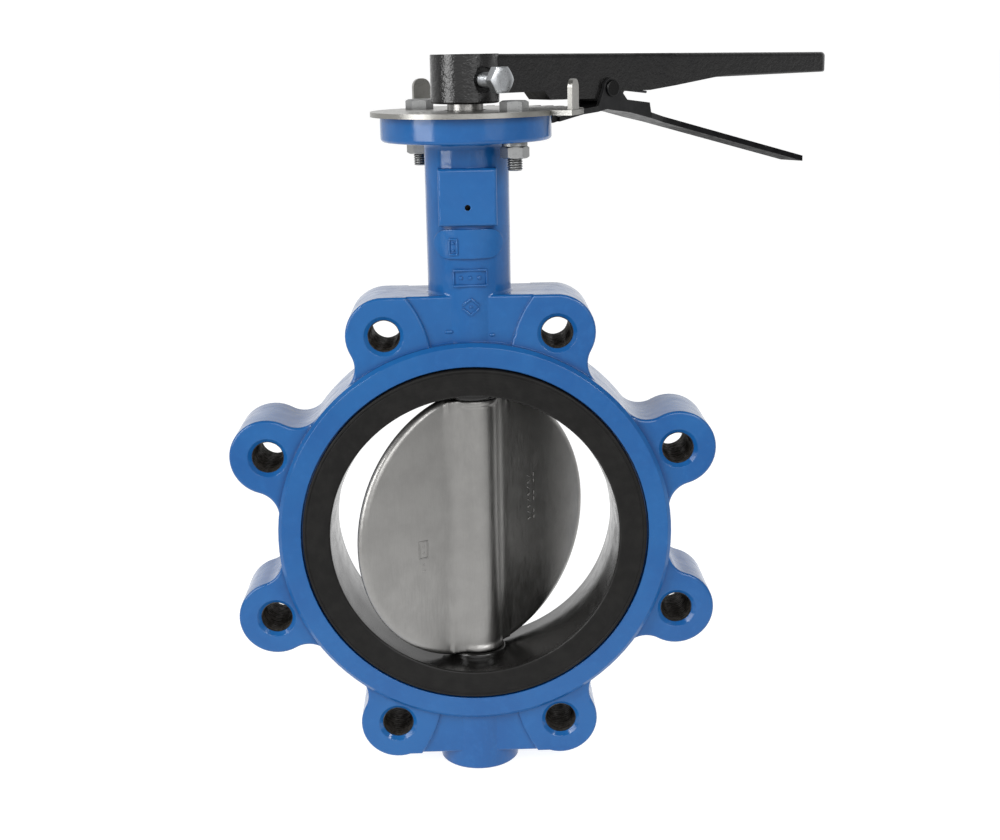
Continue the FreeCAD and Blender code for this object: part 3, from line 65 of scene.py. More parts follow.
class Paint:
    """A Principled material, built step by step. Lengths are in millimetres."""

    def __init__(self, name, **settings):
        self.material = bpy.data.materials.new(name)
        self.material.use_nodes = True
        self.tree = self.material.node_tree
        self.shader = self.tree.nodes["Principled BSDF"]
        self.place = self.new("ShaderNodeTexCoord").outputs["Object"]
        self.normal = None
        for key, value in settings.items():
            self.set(key, value)

    def new(self, kind, **settings):
        node = self.tree.nodes.new(kind)
        for key, value in settings.items():
            setattr(node, key, value)
        return node

    def feed(self, socket, value):
        if isinstance(value, bpy.types.NodeSocket):
            self.tree.links.new(value, socket)
        elif isinstance(value, (tuple, list)) and len(value) == 3 and socket.type == "RGBA":
            socket.default_value = (*value, 1.0)
        else:
            socket.default_value = value

    def set(self, name, value):
        self.feed(self.shader.inputs[name.replace("_", " ")], value)

    def noise(self, size, detail=2.0, rough=0.5, stretch=(1, 1, 1), twist=0.0):
        """Noise from 0 to 1 whose lumps are about that many millimetres."""
        mapping = self.new("ShaderNodeMapping")
        self.feed(mapping.inputs["Vector"], self.place)
        mapping.inputs["Scale"].default_value = [1.0 / (size * MM * s) for s in stretch]
        texture = self.new("ShaderNodeTexNoise")
        self.feed(texture.inputs["Vector"], mapping.outputs["Vector"])
        texture.inputs["Scale"].default_value = 1.0
        texture.inputs["Detail"].default_value = detail
        texture.inputs["Roughness"].default_value = rough
        texture.inputs["Distortion"].default_value = twist
        return texture.outputs["Fac"]

    def math(self, operation, first, second=0.0, clamp=False):
        node = self.new("ShaderNodeMath", operation=operation, use_clamp=clamp)
        self.feed(node.inputs[0], first)
        self.feed(node.inputs[1], second)
        return node.outputs[0]

    def span(self, value, low, high, to_low=0.0, to_high=1.0):
        """value from low..high to to_low..to_high, held at the ends."""
        node = self.new("ShaderNodeMapRange", interpolation_type="SMOOTHSTEP")
        for socket, number in zip(node.inputs, (value, low, high, to_low, to_high)):
            self.feed(socket, number)
        return node.outputs[0]

    def mix(self, share, first, second):
        node = self.new("ShaderNodeMix", data_type="RGBA")
        self.feed(node.inputs["Factor"], share)
        self.feed(node.inputs[6], first)
        self.feed(node.inputs[7], second)
        return node.outputs[2]

    def blend(self, share, first, second):
        """Like mix, for plain numbers."""
        node = self.new("ShaderNodeMix", data_type="FLOAT")
        self.feed(node.inputs["Factor"], share)
        self.feed(node.inputs[2], first)
        self.feed(node.inputs[3], second)
        return node.outputs[0]

    def axis(self, name):
        node = self.new("ShaderNodeSeparateXYZ")
        self.feed(node.inputs[0], self.place)
        return node.outputs[name]

    def radius(self, first, second):
        """Distance from the axis across those two coordinates, in metres."""
        squares = [self.math("POWER", self.axis(a), 2.0) for a in (first, second)]
        return self.math("SQRT", self.math("ADD", *squares))

    def corner_shade_mask(self, reach, low=0.35, high=0.95):
        """1 in open places, 0 in corners nearer than reach millimetres, from ambient occlusion; used to
        paint shade into corners.
        """
        node = self.new("ShaderNodeAmbientOcclusion", samples=6)
        node.inputs["Distance"].default_value = reach * MM
        return self.span(node.outputs["AO"], low, high)

    def worn(self, reach):
        """1 on outside edges, 0 elsewhere."""
        bevel = self.new("ShaderNodeBevel", samples=4)
        bevel.inputs["Radius"].default_value = reach * MM
        geometry = self.new("ShaderNodeNewGeometry")
        dot = self.new("ShaderNodeVectorMath", operation="DOT_PRODUCT")
        self.feed(dot.inputs[0], bevel.outputs["Normal"])
        self.feed(dot.inputs[1], geometry.outputs["Normal"])
        return self.span(dot.outputs["Value"], 0.80, 0.97, 1.0, 0.0)

    def soften(self, radius):
        """Shade edges as if they were rounded with that radius in millimetres."""
        bevel = self.new("ShaderNodeBevel", samples=6)
        bevel.inputs["Radius"].default_value = radius * MM
        self.normal = bevel.outputs["Normal"]

    def bump(self, height, tall, strength=1.0):
        """Relief of that height in millimetres, on top of any earlier one."""
        node = self.new("ShaderNodeBump")
        node.inputs["Strength"].default_value = strength
        node.inputs["Distance"].default_value = tall * MM
        self.feed(node.inputs["Height"], height)
        if self.normal is not None:
            self.feed(node.inputs["Normal"], self.normal)
        self.normal = node.outputs["Normal"]
        self.set("Normal", self.normal)

    def dress(self, *objects):
        for thing in objects:
            thing.data.materials.clear()
            thing.data.materials.append(self.material)


def blue_epoxy():
    paint = Paint("blue_epoxy", IOR=1.5)
    wide, fine = paint.noise(34.0, 3.0), paint.noise(5.0, 4.0, 0.6)
    colour = paint.mix(paint.span(wide, 0.3, 0.7), (0.0058, 0.074, 0.243), (0.0080, 0.090, 0.272))
    colour = paint.mix(paint.span(fine, 0.45, 0.8, 0.0, 0.30), colour, (0.015, 0.118, 0.335))
    # Painted shade: the blue is darkened in corners within 3.5 mm, where shade falls.
    colour = paint.mix(paint.corner_shade_mask(3.5), (0.004, 0.054, 0.205), colour)
    paint.set("Base Color", colour)
    paint.set("Specular IOR Level", 0.42)
    paint.set("Roughness", paint.span(paint.noise(9.0, 3.0), 0.3, 0.7, 0.11, 0.22))
    paint.soften(0.7)
    paint.bump(paint.noise(16.0, 2.0, 0.5), 0.32)
    paint.bump(paint.noise(5.5, 2.0, 0.5), 0.065)
    paint.bump(paint.noise(1.8, 2.0, 0.5), 0.016)
    return paint


def cast_bore():
    paint = Paint("cast_bore", Metallic=0.55)
    grime = paint.noise(2.5, 4.0, 0.65)
    colour = paint.mix(paint.span(grime, 0.35, 0.7), (0.018, 0.015, 0.012), (0.085, 0.078, 0.070))
    paint.set("Base Color", colour)
    paint.set("Roughness", paint.span(grime, 0.3, 0.7, 0.62, 0.38))
    paint.bump(paint.noise(0.9, 3.0, 0.6), 0.05)
    return paint


def seat_rubber():
    paint = Paint("seat_rubber", IOR=1.5)
    across = paint.radius("X", "Z")
    mottle = paint.noise(6.0, 4.0, 0.6)
    colour = paint.mix(paint.span(mottle, 0.35, 0.72), (0.0058, 0.0055, 0.0052), (0.0094, 0.0090, 0.0084))
    dust = paint.span(paint.noise(1.4, 4.0, 0.7), 0.60, 0.80, 0.0, 0.45)
    paint.set("Base Color", paint.mix(dust, colour, (0.024, 0.0225, 0.021)))
    in_bore = paint.span(across, 0.0778, 0.0800, 1.0, 0.0)
    rough = paint.span(paint.noise(3.0, 3.0), 0.3, 0.7, 0.46, 0.60)
    smooth = paint.span(paint.noise(7.0, 2.0), 0.3, 0.7, 0.14, 0.24)
    paint.set("Roughness", paint.blend(in_bore, rough, smooth))
    paint.set("Specular IOR Level", paint.blend(in_bore, 0.17, 0.50))
    rings = paint.math("SINE", paint.math("MULTIPLY", across, math.tau / (1.7 * MM)))
    paint.bump(rings, 0.012)
    paint.bump(paint.noise(1.1, 3.0, 0.6), 0.018)
    return paint


def steel(name, colour, rough=(0.30, 0.44), grain=(1, 1, 1), grain_size=0.5, grain_tall=0.012,
          cloud=0.16, lumps=0.0, stain=0.2):
    """Bare metal: a grain drawn along the long side of grain, clouds, light staining and painted shade in
    the corners.
    """
    paint = Paint(name, Metallic=1.0)
    clouds = paint.noise(14.0, 4.0, 0.6)
    dark = tuple(c * (1.0 - cloud) for c in colour)
    shade = paint.mix(paint.span(clouds, 0.3, 0.7), dark, colour)
    warm = (colour[0] * 0.72, colour[1] * 0.68, colour[2] * 0.60)
    shade = paint.mix(paint.span(paint.noise(4.0, 5.0, 0.7), 0.55, 0.8, 0.0, stain), shade, warm)
    # Painted shade: the metal is darkened to 35 % of its colour in corners within 4 mm, where shade falls.
    shade = paint.mix(paint.corner_shade_mask(4.0), tuple(c * 0.35 for c in colour), shade)
    paint.set("Base Color", shade)
    streaks = paint.noise(grain_size, 3.0, 0.6, stretch=grain)
    paint.set("Roughness", paint.span(streaks, 0.3, 0.7, *rough))
    if lumps:
        paint.bump(paint.noise(9.0, 3.0, 0.5), lumps)
    paint.bump(streaks, grain_tall)
    return paint


def black_casting():
    paint = Paint("black_casting", IOR=1.5)
    wide = paint.noise(11.0, 3.0)
    colour = paint.mix(paint.span(wide, 0.3, 0.7), (0.0028, 0.0028, 0.0030), (0.0052, 0.0050, 0.0049))
    paint.set("Base Color", colour)
    paint.set("Specular IOR Level", 0.60)
    paint.set("Roughness", paint.span(paint.noise(2.2, 4.0, 0.6), 0.3, 0.7, 0.10, 0.24))
    paint.bump(paint.noise(2.4, 3.0, 0.6), 0.26)
    paint.bump(paint.noise(1.0, 2.0, 0.5), 0.10)
    return paint


def black_strap():
    paint = Paint("black_strap", IOR=1.5)
    mottle = paint.noise(8.0, 3.0)
    colour = paint.mix(paint.span(mottle, 0.3, 0.7), (0.0060, 0.0060, 0.0066), (0.0110, 0.0110, 0.0118))
    rubbed = paint.math("MULTIPLY", paint.worn(0.5), 0.30)
    paint.set("Base Color", paint.mix(rubbed, colour, (0.11, 0.105, 0.10)))
    paint.set("Roughness", paint.span(paint.noise(4.0, 4.0, 0.6), 0.3, 0.7, 0.34, 0.50))
    paint.set("Specular IOR Level", paint.span(paint.radius("X", "Y"), 0.108, 0.160, 0.30, 0.01))
    paint.bump(paint.noise(3.0, 3.0, 0.5), 0.05)
    return paint


def polymer(name, colour, rough=0.45):
    paint = Paint(name)
    shade = paint.mix(paint.noise(3.0, 4.0, 0.6), tuple(c * 0.8 for c in colour), colour)
    paint.set("Base Color", shade)
    paint.set("Roughness", paint.span(paint.noise(1.5, 3.0), 0.3, 0.7, rough - 0.08, rough + 0.08))
    paint.bump(paint.noise(0.8, 2.0), 0.02)
    return paint


UP_GRAIN = (1, 1, 14)
FLAT_GRAIN = (12, 1, 1)
paints = {
    "blue_epoxy": blue_epoxy(),
    "cast_bore": cast_bore(),
    "seat_rubber": seat_rubber(),
    "disc_steel": steel("disc_steel", (0.32, 0.315, 0.305), (0.34, 0.46), UP_GRAIN,
                        0.6, 0.010, 0.10, 0.10, 0.10),
    "stem_steel": steel("stem_steel", (0.60, 0.59, 0.57), (0.22, 0.36), (1, 1, 0.1), 1.2, 0.008),
    "spring_steel": steel("spring_steel", (0.16, 0.16, 0.17), (0.28, 0.42), (1, 1, 1), 0.6, 0.006),
    "bush_polymer": polymer("bush_polymer", (0.62, 0.60, 0.54)),
    "seal_rubber": polymer("seal_rubber", (0.022, 0.022, 0.022), 0.4),
    "plug_steel": None,
    "plate_steel": steel("plate_steel", (0.35, 0.345, 0.325), (0.26, 0.42), FLAT_GRAIN,
                         0.35, 0.010, 0.14, 0.05, 0.22),
    "zinc_steel": steel("zinc_steel", (0.36, 0.365, 0.365), (0.26, 0.42), (1, 1, 1), 0.8, 0.015),
    "black_casting": black_casting(),
    "screw_steel": steel("screw_steel", (0.56, 0.58, 0.60), (0.26, 0.38), (1, 1, 1), 0.8, 0.012),
    "black_strap": black_strap(),
    "pin_steel": steel("pin_steel", (0.03, 0.03, 0.03), (0.26, 0.40), (1, 1, 1), 0.8, 0.010),
}
paints["plug_steel"] = paints["blue_epoxy"]

for part in frame["record"]["subparts"]:
    paints[part["material_slot"]].dress(nodes[part["node"]])


# ---------------------------------------------------------------- building meshes

def add_object(name, mesh):
    thing = bpy.data.objects.new(name, mesh)
    bpy.context.scene.collection.objects.link(thing)
    return thing


def finish_piece(name, build, body, slot, replaced=(), crease=32.0, turned=False):
    """Turns a bmesh, built in millimetres, into a piece that rides on a CAD body."""
    bmesh.ops.remove_doubles(build, verts=build.verts, dist=1e-5)
    bmesh.ops.recalc_face_normals(build, faces=build.faces)
    scale = Matrix.Scale(MM, 4)
    if turned:
        scale = LEVER_TURN @ scale
    build.transform(scale)
    mesh = bpy.data.meshes.new(name)
    build.to_mesh(mesh)
    build.free()
    mesh.shade_smooth()
    mesh.set_sharp_from_angle(angle=math.radians(crease))
    return seat_piece(add_object(name, mesh), body, slot, replaced)


def seat_piece(thing, body, slot, replaced=()):
    paints[slot].dress(thing)
    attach(thing, body)
    if replaced:
        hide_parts(*replaced)
    return thing


def add_grid(build, rows, closed_rows=False, place=None):
    """Quads between rows of points; every row is a closed loop."""
    place = place or Matrix.Identity(4)
    loops = [[build.verts.new(place @ Vector(point)) for point in row] for row in rows]
    pairs = list(zip(loops, loops[1:]))
    if closed_rows:
        pairs.append((loops[-1], loops[0]))
    for first, second in pairs:
        for k in range(len(first)):
            after = (k + 1) % len(first)
            build.faces.new((first[k], first[after], second[after], second[k]))
    return loops


def cap(build, loop):
    build.faces.new(loop)


def around(radius, high, steps, turn=0.0):
    """A ring of points about Z; radius may be a function of the angle."""
    angles = [math.tau * k / steps + turn for k in range(steps)]
    sizes = [radius(a) if callable(radius) else radius for a in angles]
    highs = [high(a) if callable(high) else high for a in angles]
    return [(s * math.cos(a), s * math.sin(a), z) for s, a, z in zip(sizes, angles, highs)]


def arc(centre, radius, first, last, steps):
    """Points of an arc, in degrees."""
    return [(centre[0] + radius * math.cos(math.radians(first + (last - first) * k / steps)),
             centre[1] + radius * math.sin(math.radians(first + (last - first) * k / steps)))
            for k in range(steps + 1)]


def add_lathe(build, profile, steps, place=None):
    """A closed profile of (radius, height), turned about Z."""
    add_grid(build, [around(r, z, steps) for r, z in profile], True, place)


def add_hexagon_block(build, half, low, high, crown, hole, both_ends, place):
    """A chamfered hexagon with a hole, corners towards X."""
    steps = 72
    inner = half * crown

    def reach(angle):
        part = (math.degrees(angle) + 30.0) % 60.0 - 30.0
        return half / math.cos(math.radians(part - 30.0 if part > 0 else part + 30.0))

    def drop(angle):
        return max(0.0, reach(angle) - inner) * math.tan(math.radians(30.0))

    rows = [around(hole, low, steps)]
    if both_ends:
        rows += [around(inner, low, steps), around(reach, lambda a: low + drop(a), steps)]
    else:
        rows += [around(reach, low, steps)]
    rows.append(around(reach, lambda a: high - drop(a), steps))
    rows += [around(inner, high, steps), around(hole, high, steps)]
    add_grid(build, rows, True, place)


def add_threaded_rod(build, radius, depth, pitch, low, high, place, steps=36, per_turn=8):
    """A solid rod about Z with a helical thread and chamfered ends."""
    count = max(4, round((high - low) / pitch * per_turn))
    rows = []
    for number in range(count + 1):
        z = low + (high - low) * number / count
        ends = min(z - low, high - z)

        def size(angle, z=z, ends=ends):
            part = (z / pitch - angle / math.tau) % 1.0
            groove = depth * min(1.0, abs(part - 0.5) * 2.6)
            return min(radius - depth + groove, radius - depth + ends * 1.2)

        rows.append(around(size, z, steps))
    loops = add_grid(build, rows, False, place)
    cap(build, loops[0])
    cap(build, loops[-1])


def surface_of(*names):
    """The shown surface of CAD nodes or pieces, to lay small marks on."""
    corners, faces = [], []
    for name in names:
        mesh = bpy.data.objects[name].data
        start = len(corners)
        corners += [vertex.co.copy() for vertex in mesh.vertices]
        faces += [[start + k for k in face.vertices] for face in mesh.polygons]
    return BVHTree.FromPolygons(corners, faces)


def lie_on(tree, start, aim, up=Vector((0, 0, 1)), sink=0.12):
    """Where a ray from start lands: a frame with Z out of the surface and Y up, in millimetres."""
    spot, normal, _, _ = tree.ray_cast(Vector(start) * MM, Vector(aim))
    across = up.cross(normal).normalized()
    upward = normal.cross(across).normalized()
    axes = Matrix((across, upward, normal)).transposed().to_4x4()
    return Matrix.Translation(spot / MM - normal * sink) @ axes


def add_mark(build, place, length, width, tall, turn=0.0, steps=10):
    """A low rounded bar, as cast or stamped marks are."""
    half = max(0.0, (length - width) / 2)
    rows = []
    for share, level in ((1.0, 0.0), (0.90, 0.55), (0.72, 0.85), (0.40, 1.0)):
        r = width / 2 * share
        row = []
        for end, start in ((half, -90), (-half, 90)):
            row += [(end + x, y, tall * level) for x, y in arc((0, 0), r, start, start + 180, steps)]
        rows.append(row)
    spin = place @ Matrix.Rotation(math.radians(turn), 4, "Z")
    loops = add_grid(build, rows, False, spin)
    cap(build, loops[0])
    cap(build, loops[-1])


def remeshed(node, name, voxel):
    """A finer copy of a CAD node's mesh."""
    thing = add_object(name, nodes[node].data.copy())
    remesh = thing.modifiers.new("remesh", "REMESH")
    remesh.mode = "VOXEL"
    remesh.voxel_size = voxel * MM
    graph = bpy.context.evaluated_depsgraph_get()
    mesh = bpy.data.meshes.new_from_object(thing.evaluated_get(graph))
    thing.modifiers.clear()
    thing.data = mesh
    mesh.name = name
    mesh.shade_smooth()
    return thing


def read_points(mesh):
    points = np.empty(len(mesh.vertices) * 3)
    mesh.vertices.foreach_get("co", points)
    return points.reshape(-1, 3)


def write_points(mesh, points):
    mesh.vertices.foreach_set("co", points.ravel())
    mesh.update()


def relax(mesh, rounds, weight):
    """Moves every vertex towards its neighbours, as far as weight (0 to 1) says."""
    points = read_points(mesh)
    ends = np.empty(len(mesh.edges) * 2, int)
    mesh.edges.foreach_get("vertices", ends)
    first, second = ends[0::2], ends[1::2]
    count = len(points)
    degree = np.maximum(1, np.bincount(first, minlength=count) + np.bincount(second, minlength=count))
    for _ in range(rounds):
        for axis in range(3):
            line = points[:, axis]
            total = (np.bincount(first, line[second], count) + np.bincount(second, line[first], count))
            points[:, axis] = line + weight * (total / degree - line)
    write_points(mesh, points)


# ---------------------------------------------------------------- pieces

LEVER_TURN = Matrix.Rotation(math.radians(36.0), 4, "Z")
PLATE_TOP, FLANGE_LOW, WASHER_LOW = 226.5, 211.0, 209.1
NUT_LOW, BOLT_END = 202.8, 196.6
HEX_HALF, HEAD_TALL, THREAD_R, THREAD_DEPTH, THREAD_PITCH = 6.5, 5.3, 3.95, 0.62, 1.25
HOLE_REACH = 24.7487
BOLT_PLACES = ((HOLE_REACH, -HOLE_REACH), (-HOLE_REACH, HOLE_REACH))


def make_plate_fasteners():
    bolts, nuts = bmesh.new(), bmesh.new()
    for x, y in BOLT_PLACES:
        place = Matrix.Translation((x, y, 0.0))
        add_hexagon_block(bolts, HEX_HALF, PLATE_TOP, PLATE_TOP + HEAD_TALL, 0.93, 2.0, False, place)
        add_lathe(bolts, [(0.6, PLATE_TOP + HEAD_TALL - 0.25), (2.0, PLATE_TOP + HEAD_TALL - 0.25),
                          (2.0, PLATE_TOP + 0.5), (0.6, PLATE_TOP + 0.5)], 24, place)
        add_lathe(bolts, [(0.02, PLATE_TOP + HEAD_TALL - 0.25), (0.6, PLATE_TOP + HEAD_TALL - 0.25),
                          (0.6, PLATE_TOP + 0.5), (0.02, PLATE_TOP + 0.5)], 24, place)
        add_threaded_rod(bolts, THREAD_R, THREAD_DEPTH, THREAD_PITCH, BOLT_END, PLATE_TOP + 1.0, place)
        add_hexagon_block(nuts, HEX_HALF, NUT_LOW, WASHER_LOW, 0.94, 4.0, True, place)
    finish_piece("plate_bolts_threaded", bolts, "casing", "zinc_steel", ["plate_bolts"])
    finish_piece("plate_nuts_chamfered", nuts, "casing", "zinc_steel", ["plate_nuts"])


def make_hub_screw():
    screw = bmesh.new()
    outward = Matrix.Translation((0, 0, 242.0)) @ Matrix.Rotation(math.radians(90), 4, "X")
    add_hexagon_block(screw, HEX_HALF, 28.0, 33.3, 0.86, 2.4, False, outward)
    add_lathe(screw, [(0.02, 33.3), (2.4, 33.3), (2.4, 28.0), (0.02, 28.0)], 24, outward)
    add_threaded_rod(screw, THREAD_R, THREAD_DEPTH, THREAD_PITCH, 7.2, 28.6, outward)
    finish_piece("hub_screw_threaded", screw, "lever_set", "screw_steel", ["hub_screw"], turned=True)


def make_lug_threads():
    """The M20 thread in each lug, standing in from the drilled wall."""
    wall, crest, pitch, reach, steps = 8.63, 8.12, 2.5, 19.6, 40
    build = bmesh.new()
    count = round(2 * reach / pitch * 7)
    for number in range(8):
        angle = math.radians(22.5 + 45.0 * number)
        place = Matrix.Translation((120.0 * math.cos(angle), 0.0, 120.0 * math.sin(angle)))
        place = place @ Matrix.Rotation(math.radians(90), 4, "X")
        rows = [around(wall + 0.25, -reach, steps), around(wall + 0.25, reach, steps)]
        for row in range(count, -1, -1):
            y = -reach + 2 * reach * row / count

            def size(turn, y=y):
                part = (y / pitch - turn / math.tau) % 1.0
                return wall - (wall - crest) * max(0.0, 1.0 - abs(part - 0.5) * 2.6)

            rows.append(around(size, y, steps))
        add_grid(build, rows, True, place)
    threads = finish_piece("lug_threads", build, "casing", "spring_steel")
    paints["cast_bore"].dress(threads)


def make_seat():
    """The moulded rubber seat: face with rounded rim, mouth, bore and the two stem bosses."""
    face, back, bore, crown, mouth = 28.0, 22.6, 77.0, 11.0, 78.6
    rim, rim_round, root = 93.45, 1.0, 86.4
    half = [(bore, 0.0), (bore, crown), (mouth, face - 1.4)]
    half += arc((mouth + 1.3, face - 1.3), 1.3, 180, 90, 5)
    half += [(83.0, face), (91.2, face), (91.45, face - 0.22), (91.8, face - 0.22), (92.05, face)]
    half += arc((rim - rim_round, face - rim_round), rim_round, 90, 0, 6)
    half += [(rim, back), (root, back)]
    other = [(r, -y) for r, y in reversed(half[1:])]
    build = bmesh.new()
    turn = Matrix.Rotation(math.radians(-90), 4, "X")
    add_lathe(build, half + other, 288, turn)
    for side in (1, -1):
        flip = Matrix.Identity(4) if side > 0 else Matrix.Rotation(math.pi, 4, "X")
        top, edge, radius = 73.2, 1.5, 16.0
        boss = [(9.6, 80.5), (9.6, top)] + [(radius - edge - 2.2, top)]
        boss += arc((radius - edge, top + edge), edge, -90, 0, 6)
        boss += [(radius, 77.0), (radius + 0.5, 79.6), (radius, 80.5)]
        add_lathe(build, boss, 64, flip)
    finish_piece("seat_liner_moulded", build, "casing", "seat_rubber", ["seat_liner"])


def make_disc():
    """The cast disc, with the hub running softly into the plate."""
    disc = remeshed("disc", "disc_cast", 0.75)
    back = LEVER_TURN.inverted().to_3x3()
    points = read_points(disc.data) @ np.array(back).T / MM
    across, high = np.abs(points[:, 0]), np.abs(points[:, 2])
    distance = np.hypot(points[:, 0], points[:, 2])
    near_blend = np.clip((across - 9.0) / 3.0, 0, 1) * np.clip((30.0 - across) / 5.0, 0, 1)
    inside = np.clip((74.0 - distance) / 3.0, 0, 1) * np.clip((68.5 - high) / 2.0, 0, 1)
    relax(disc.data, 40, 0.6 * near_blend * inside)
    relax(disc.data, 2, np.full(len(points), 0.5))
    seat_piece(disc, "lever_set", "disc_steel", ["disc"])


def make_trigger_spring():
    """Coil and upper leg stay with the lever, the lower leg with the trigger."""
    wire, coil, turns, pitch = 0.7, 4.5, 3, 1.6
    pivot = Vector((92.0, 0.0, 235.0))

    def tube(build, line, radius, steps=10):
        rows = []
        for number, point in enumerate(line):
            ahead = (line[min(number + 1, len(line) - 1)] - line[max(number - 1, 0)]).normalized()
            side = ahead.cross(Vector((0, 1, 0.01))).normalized()
            other = ahead.cross(side).normalized()
            rows.append([point + radius * (math.cos(a) * side + math.sin(a) * other)
                         for a in [math.tau * k / steps for k in range(steps)]])
        loops = add_grid(build, rows)
        cap(build, loops[0])
        cap(build, loops[-1])

    half = turns * pitch / 2
    ring = [pivot + Vector((coil * math.cos(a), half - pitch * a / math.tau, coil * math.sin(a)))
            for a in [math.tau * k / 20 for k in range(turns * 20 + 1)]]
    upper, lower = bmesh.new(), bmesh.new()
    high_end, low_end = Vector((126.0, -half, 231.7)), Vector((126.0, half, 221.2))
    low_end.y, high_end.y = half, -half
    tube(upper, ring, wire)
    tube(upper, [ring[-1], ring[-1].lerp(high_end, 0.5), high_end], wire)
    tube(lower, [ring[0], ring[0].lerp(low_end, 0.5), low_end], wire)
    finish_piece("trigger_spring_coil", upper, "lever_set", "spring_steel", ["trigger_spring"], turned=True)
    finish_piece("trigger_spring_leg", lower, "trigger_set", "spring_steel", turned=True)


def make_neck_marks():
    """Plain raised casting marks on the front of the neck and of the top web, with no lettering."""
    line, tall_mark = 1.25, 0.85
    surface = surface_of("valve_body")
    build = bmesh.new()
    bars = []
    for x, z, wide, tall in ((0.4, 141.2, 17.0, 8.2), (-8.0, 157.6, 4.0, 8.0)):
        for side in (-0.5, 0.5):
            bars.append((x, z + side * tall, wide + line, line, 0))
            bars.append((x + side * wide, z, tall, line, 90))
    bars += [(x, 141.2, 2.3, 2.3, 45) for x in (-4.4, 0.4, 5.2)]
    bars += [(-8.0, z, 1.5, 1.5, 45) for z in (155.8, 159.4)]
    for side in (-1, 1):
        bars.append((side * 2.1 + 0.5, 128.4, 6.2, 1.35, -40 * side))
        bars.append((side * 2.1 + 0.5, 123.2, 6.2, 1.35, 40 * side))
    bars += [(0.5, 125.8, 1.8, 1.8, 0), (-11.4, 112.4, 4.4, 2.0, 0), (11.4, 110.4, 2.8, 2.0, 0)]
    for x, z, length, width, turn in bars:
        add_mark(build, lie_on(surface, (x, -60.0, z), (0, 1, 0)), length, width, tall_mark, turn)
    finish_piece("neck_marks", build, "casing", "blue_epoxy", crease=60.0)


def make_disc_marks():
    """Plain raised tablets and pips on the disc's two wings, with no lettering."""
    surface = surface_of("disc_cast")
    build = bmesh.new()
    aim = LEVER_TURN.to_3x3() @ Vector((0, 1, 0))

    def spot(x, z):
        return lie_on(surface, LEVER_TURN.to_3x3() @ Vector((x, -30.0, z)), aim, sink=0.08)

    left, right = -38.0, 37.0
    for x, z, length, turn in ((-2.6, -3.0, 9.6, 90), (2.6, -3.0, 9.6, 90),
                               (0, 1.8, 6.0, 0), (0, -7.8, 6.0, 0),
                               (0.0, -1.2, 1.4, 45), (0.0, -4.8, 1.4, 45), (0.0, -11.6, 1.4, 45),
                               (0.0, -15.2, 1.4, 45)):
        add_mark(build, spot(left + x, z - 4.0), length, 0.8, 0.34, turn)
    for number in range(8):
        z = 21.0 - number * 3.6
        add_mark(build, spot(right - 1.6, z), 2.4, 0.9, 0.34, 35 if number % 2 else -35)
        if number % 3 != 2:
            add_mark(build, spot(right + 2.0, z + 0.4), 2.2, 0.8, 0.34, 90)
    finish_piece("disc_marks", build, "lever_set", "disc_steel", crease=60.0)


def bare_the_lug_holes():
    """The drilled walls of the lugs and of the neck's small hole are dark bare metal, not painted."""
    lug_step, circle_r, wall_r = 45.0, 120.0, 8.9
    hole_z, hole_reach, neck_front = 178.0, 1.8, -15
    body = nodes["valve_body"]
    body.data.materials.append(paints["cast_bore"].material)
    for face in body.data.polygons:
        centre = face.center / MM
        distance = math.hypot(centre.x, centre.z)
        angle = math.degrees(math.atan2(centre.z, centre.x))
        off = math.radians(angle % lug_step - lug_step / 2)
        in_lug = math.hypot(distance * math.cos(off) - circle_r, distance * math.sin(off)) < wall_r
        beside = max(abs(centre.x), abs(centre.z - hole_z))
        if in_lug or (beside < hole_reach and centre.y < neck_front):
            face.material_index = 1


make_plate_fasteners()
make_hub_screw()
make_lug_threads()
make_seat()
make_disc()
make_trigger_spring()
make_neck_marks()
make_disc_marks()
bare_the_lug_holes()


# ---------------------------------------------------------------- camera, floor and lights

CAMERA_AT = Vector((0.0, -0.7941, 0.2587))
YAW, PITCH, ROLL = (math.radians(angle) for angle in (1.09, 14.14, 1.06))
LENS, SENSOR = 53.45, 36.0
FLOOR_Z = cad_low.z - 0.0004


def make_camera():
    camera = bpy.data.objects.new("camera", bpy.data.cameras.new("camera"))
    bpy.context.scene.collection.objects.link(camera)
    ahead = Vector((math.sin(YAW) * math.cos(PITCH), math.cos(YAW) * math.cos(PITCH), -math.sin(PITCH)))
    right = Vector((math.cos(YAW), -math.sin(YAW), 0.0))
    down = ahead.cross(right)
    turned_right = math.cos(ROLL) * right + math.sin(ROLL) * down
    turned_down = math.cos(ROLL) * down - math.sin(ROLL) * right
    axes = Matrix((turned_right, -turned_down, -ahead)).transposed()
    camera.matrix_world = Matrix.Translation(CAMERA_AT) @ axes.to_4x4()
    camera.data.sensor_fit = "HORIZONTAL"
    camera.data.sensor_width = SENSOR
    camera.data.lens = LENS
    camera.data.clip_start, camera.data.clip_end = 0.02, 200.0
    bpy.context.scene.camera = camera


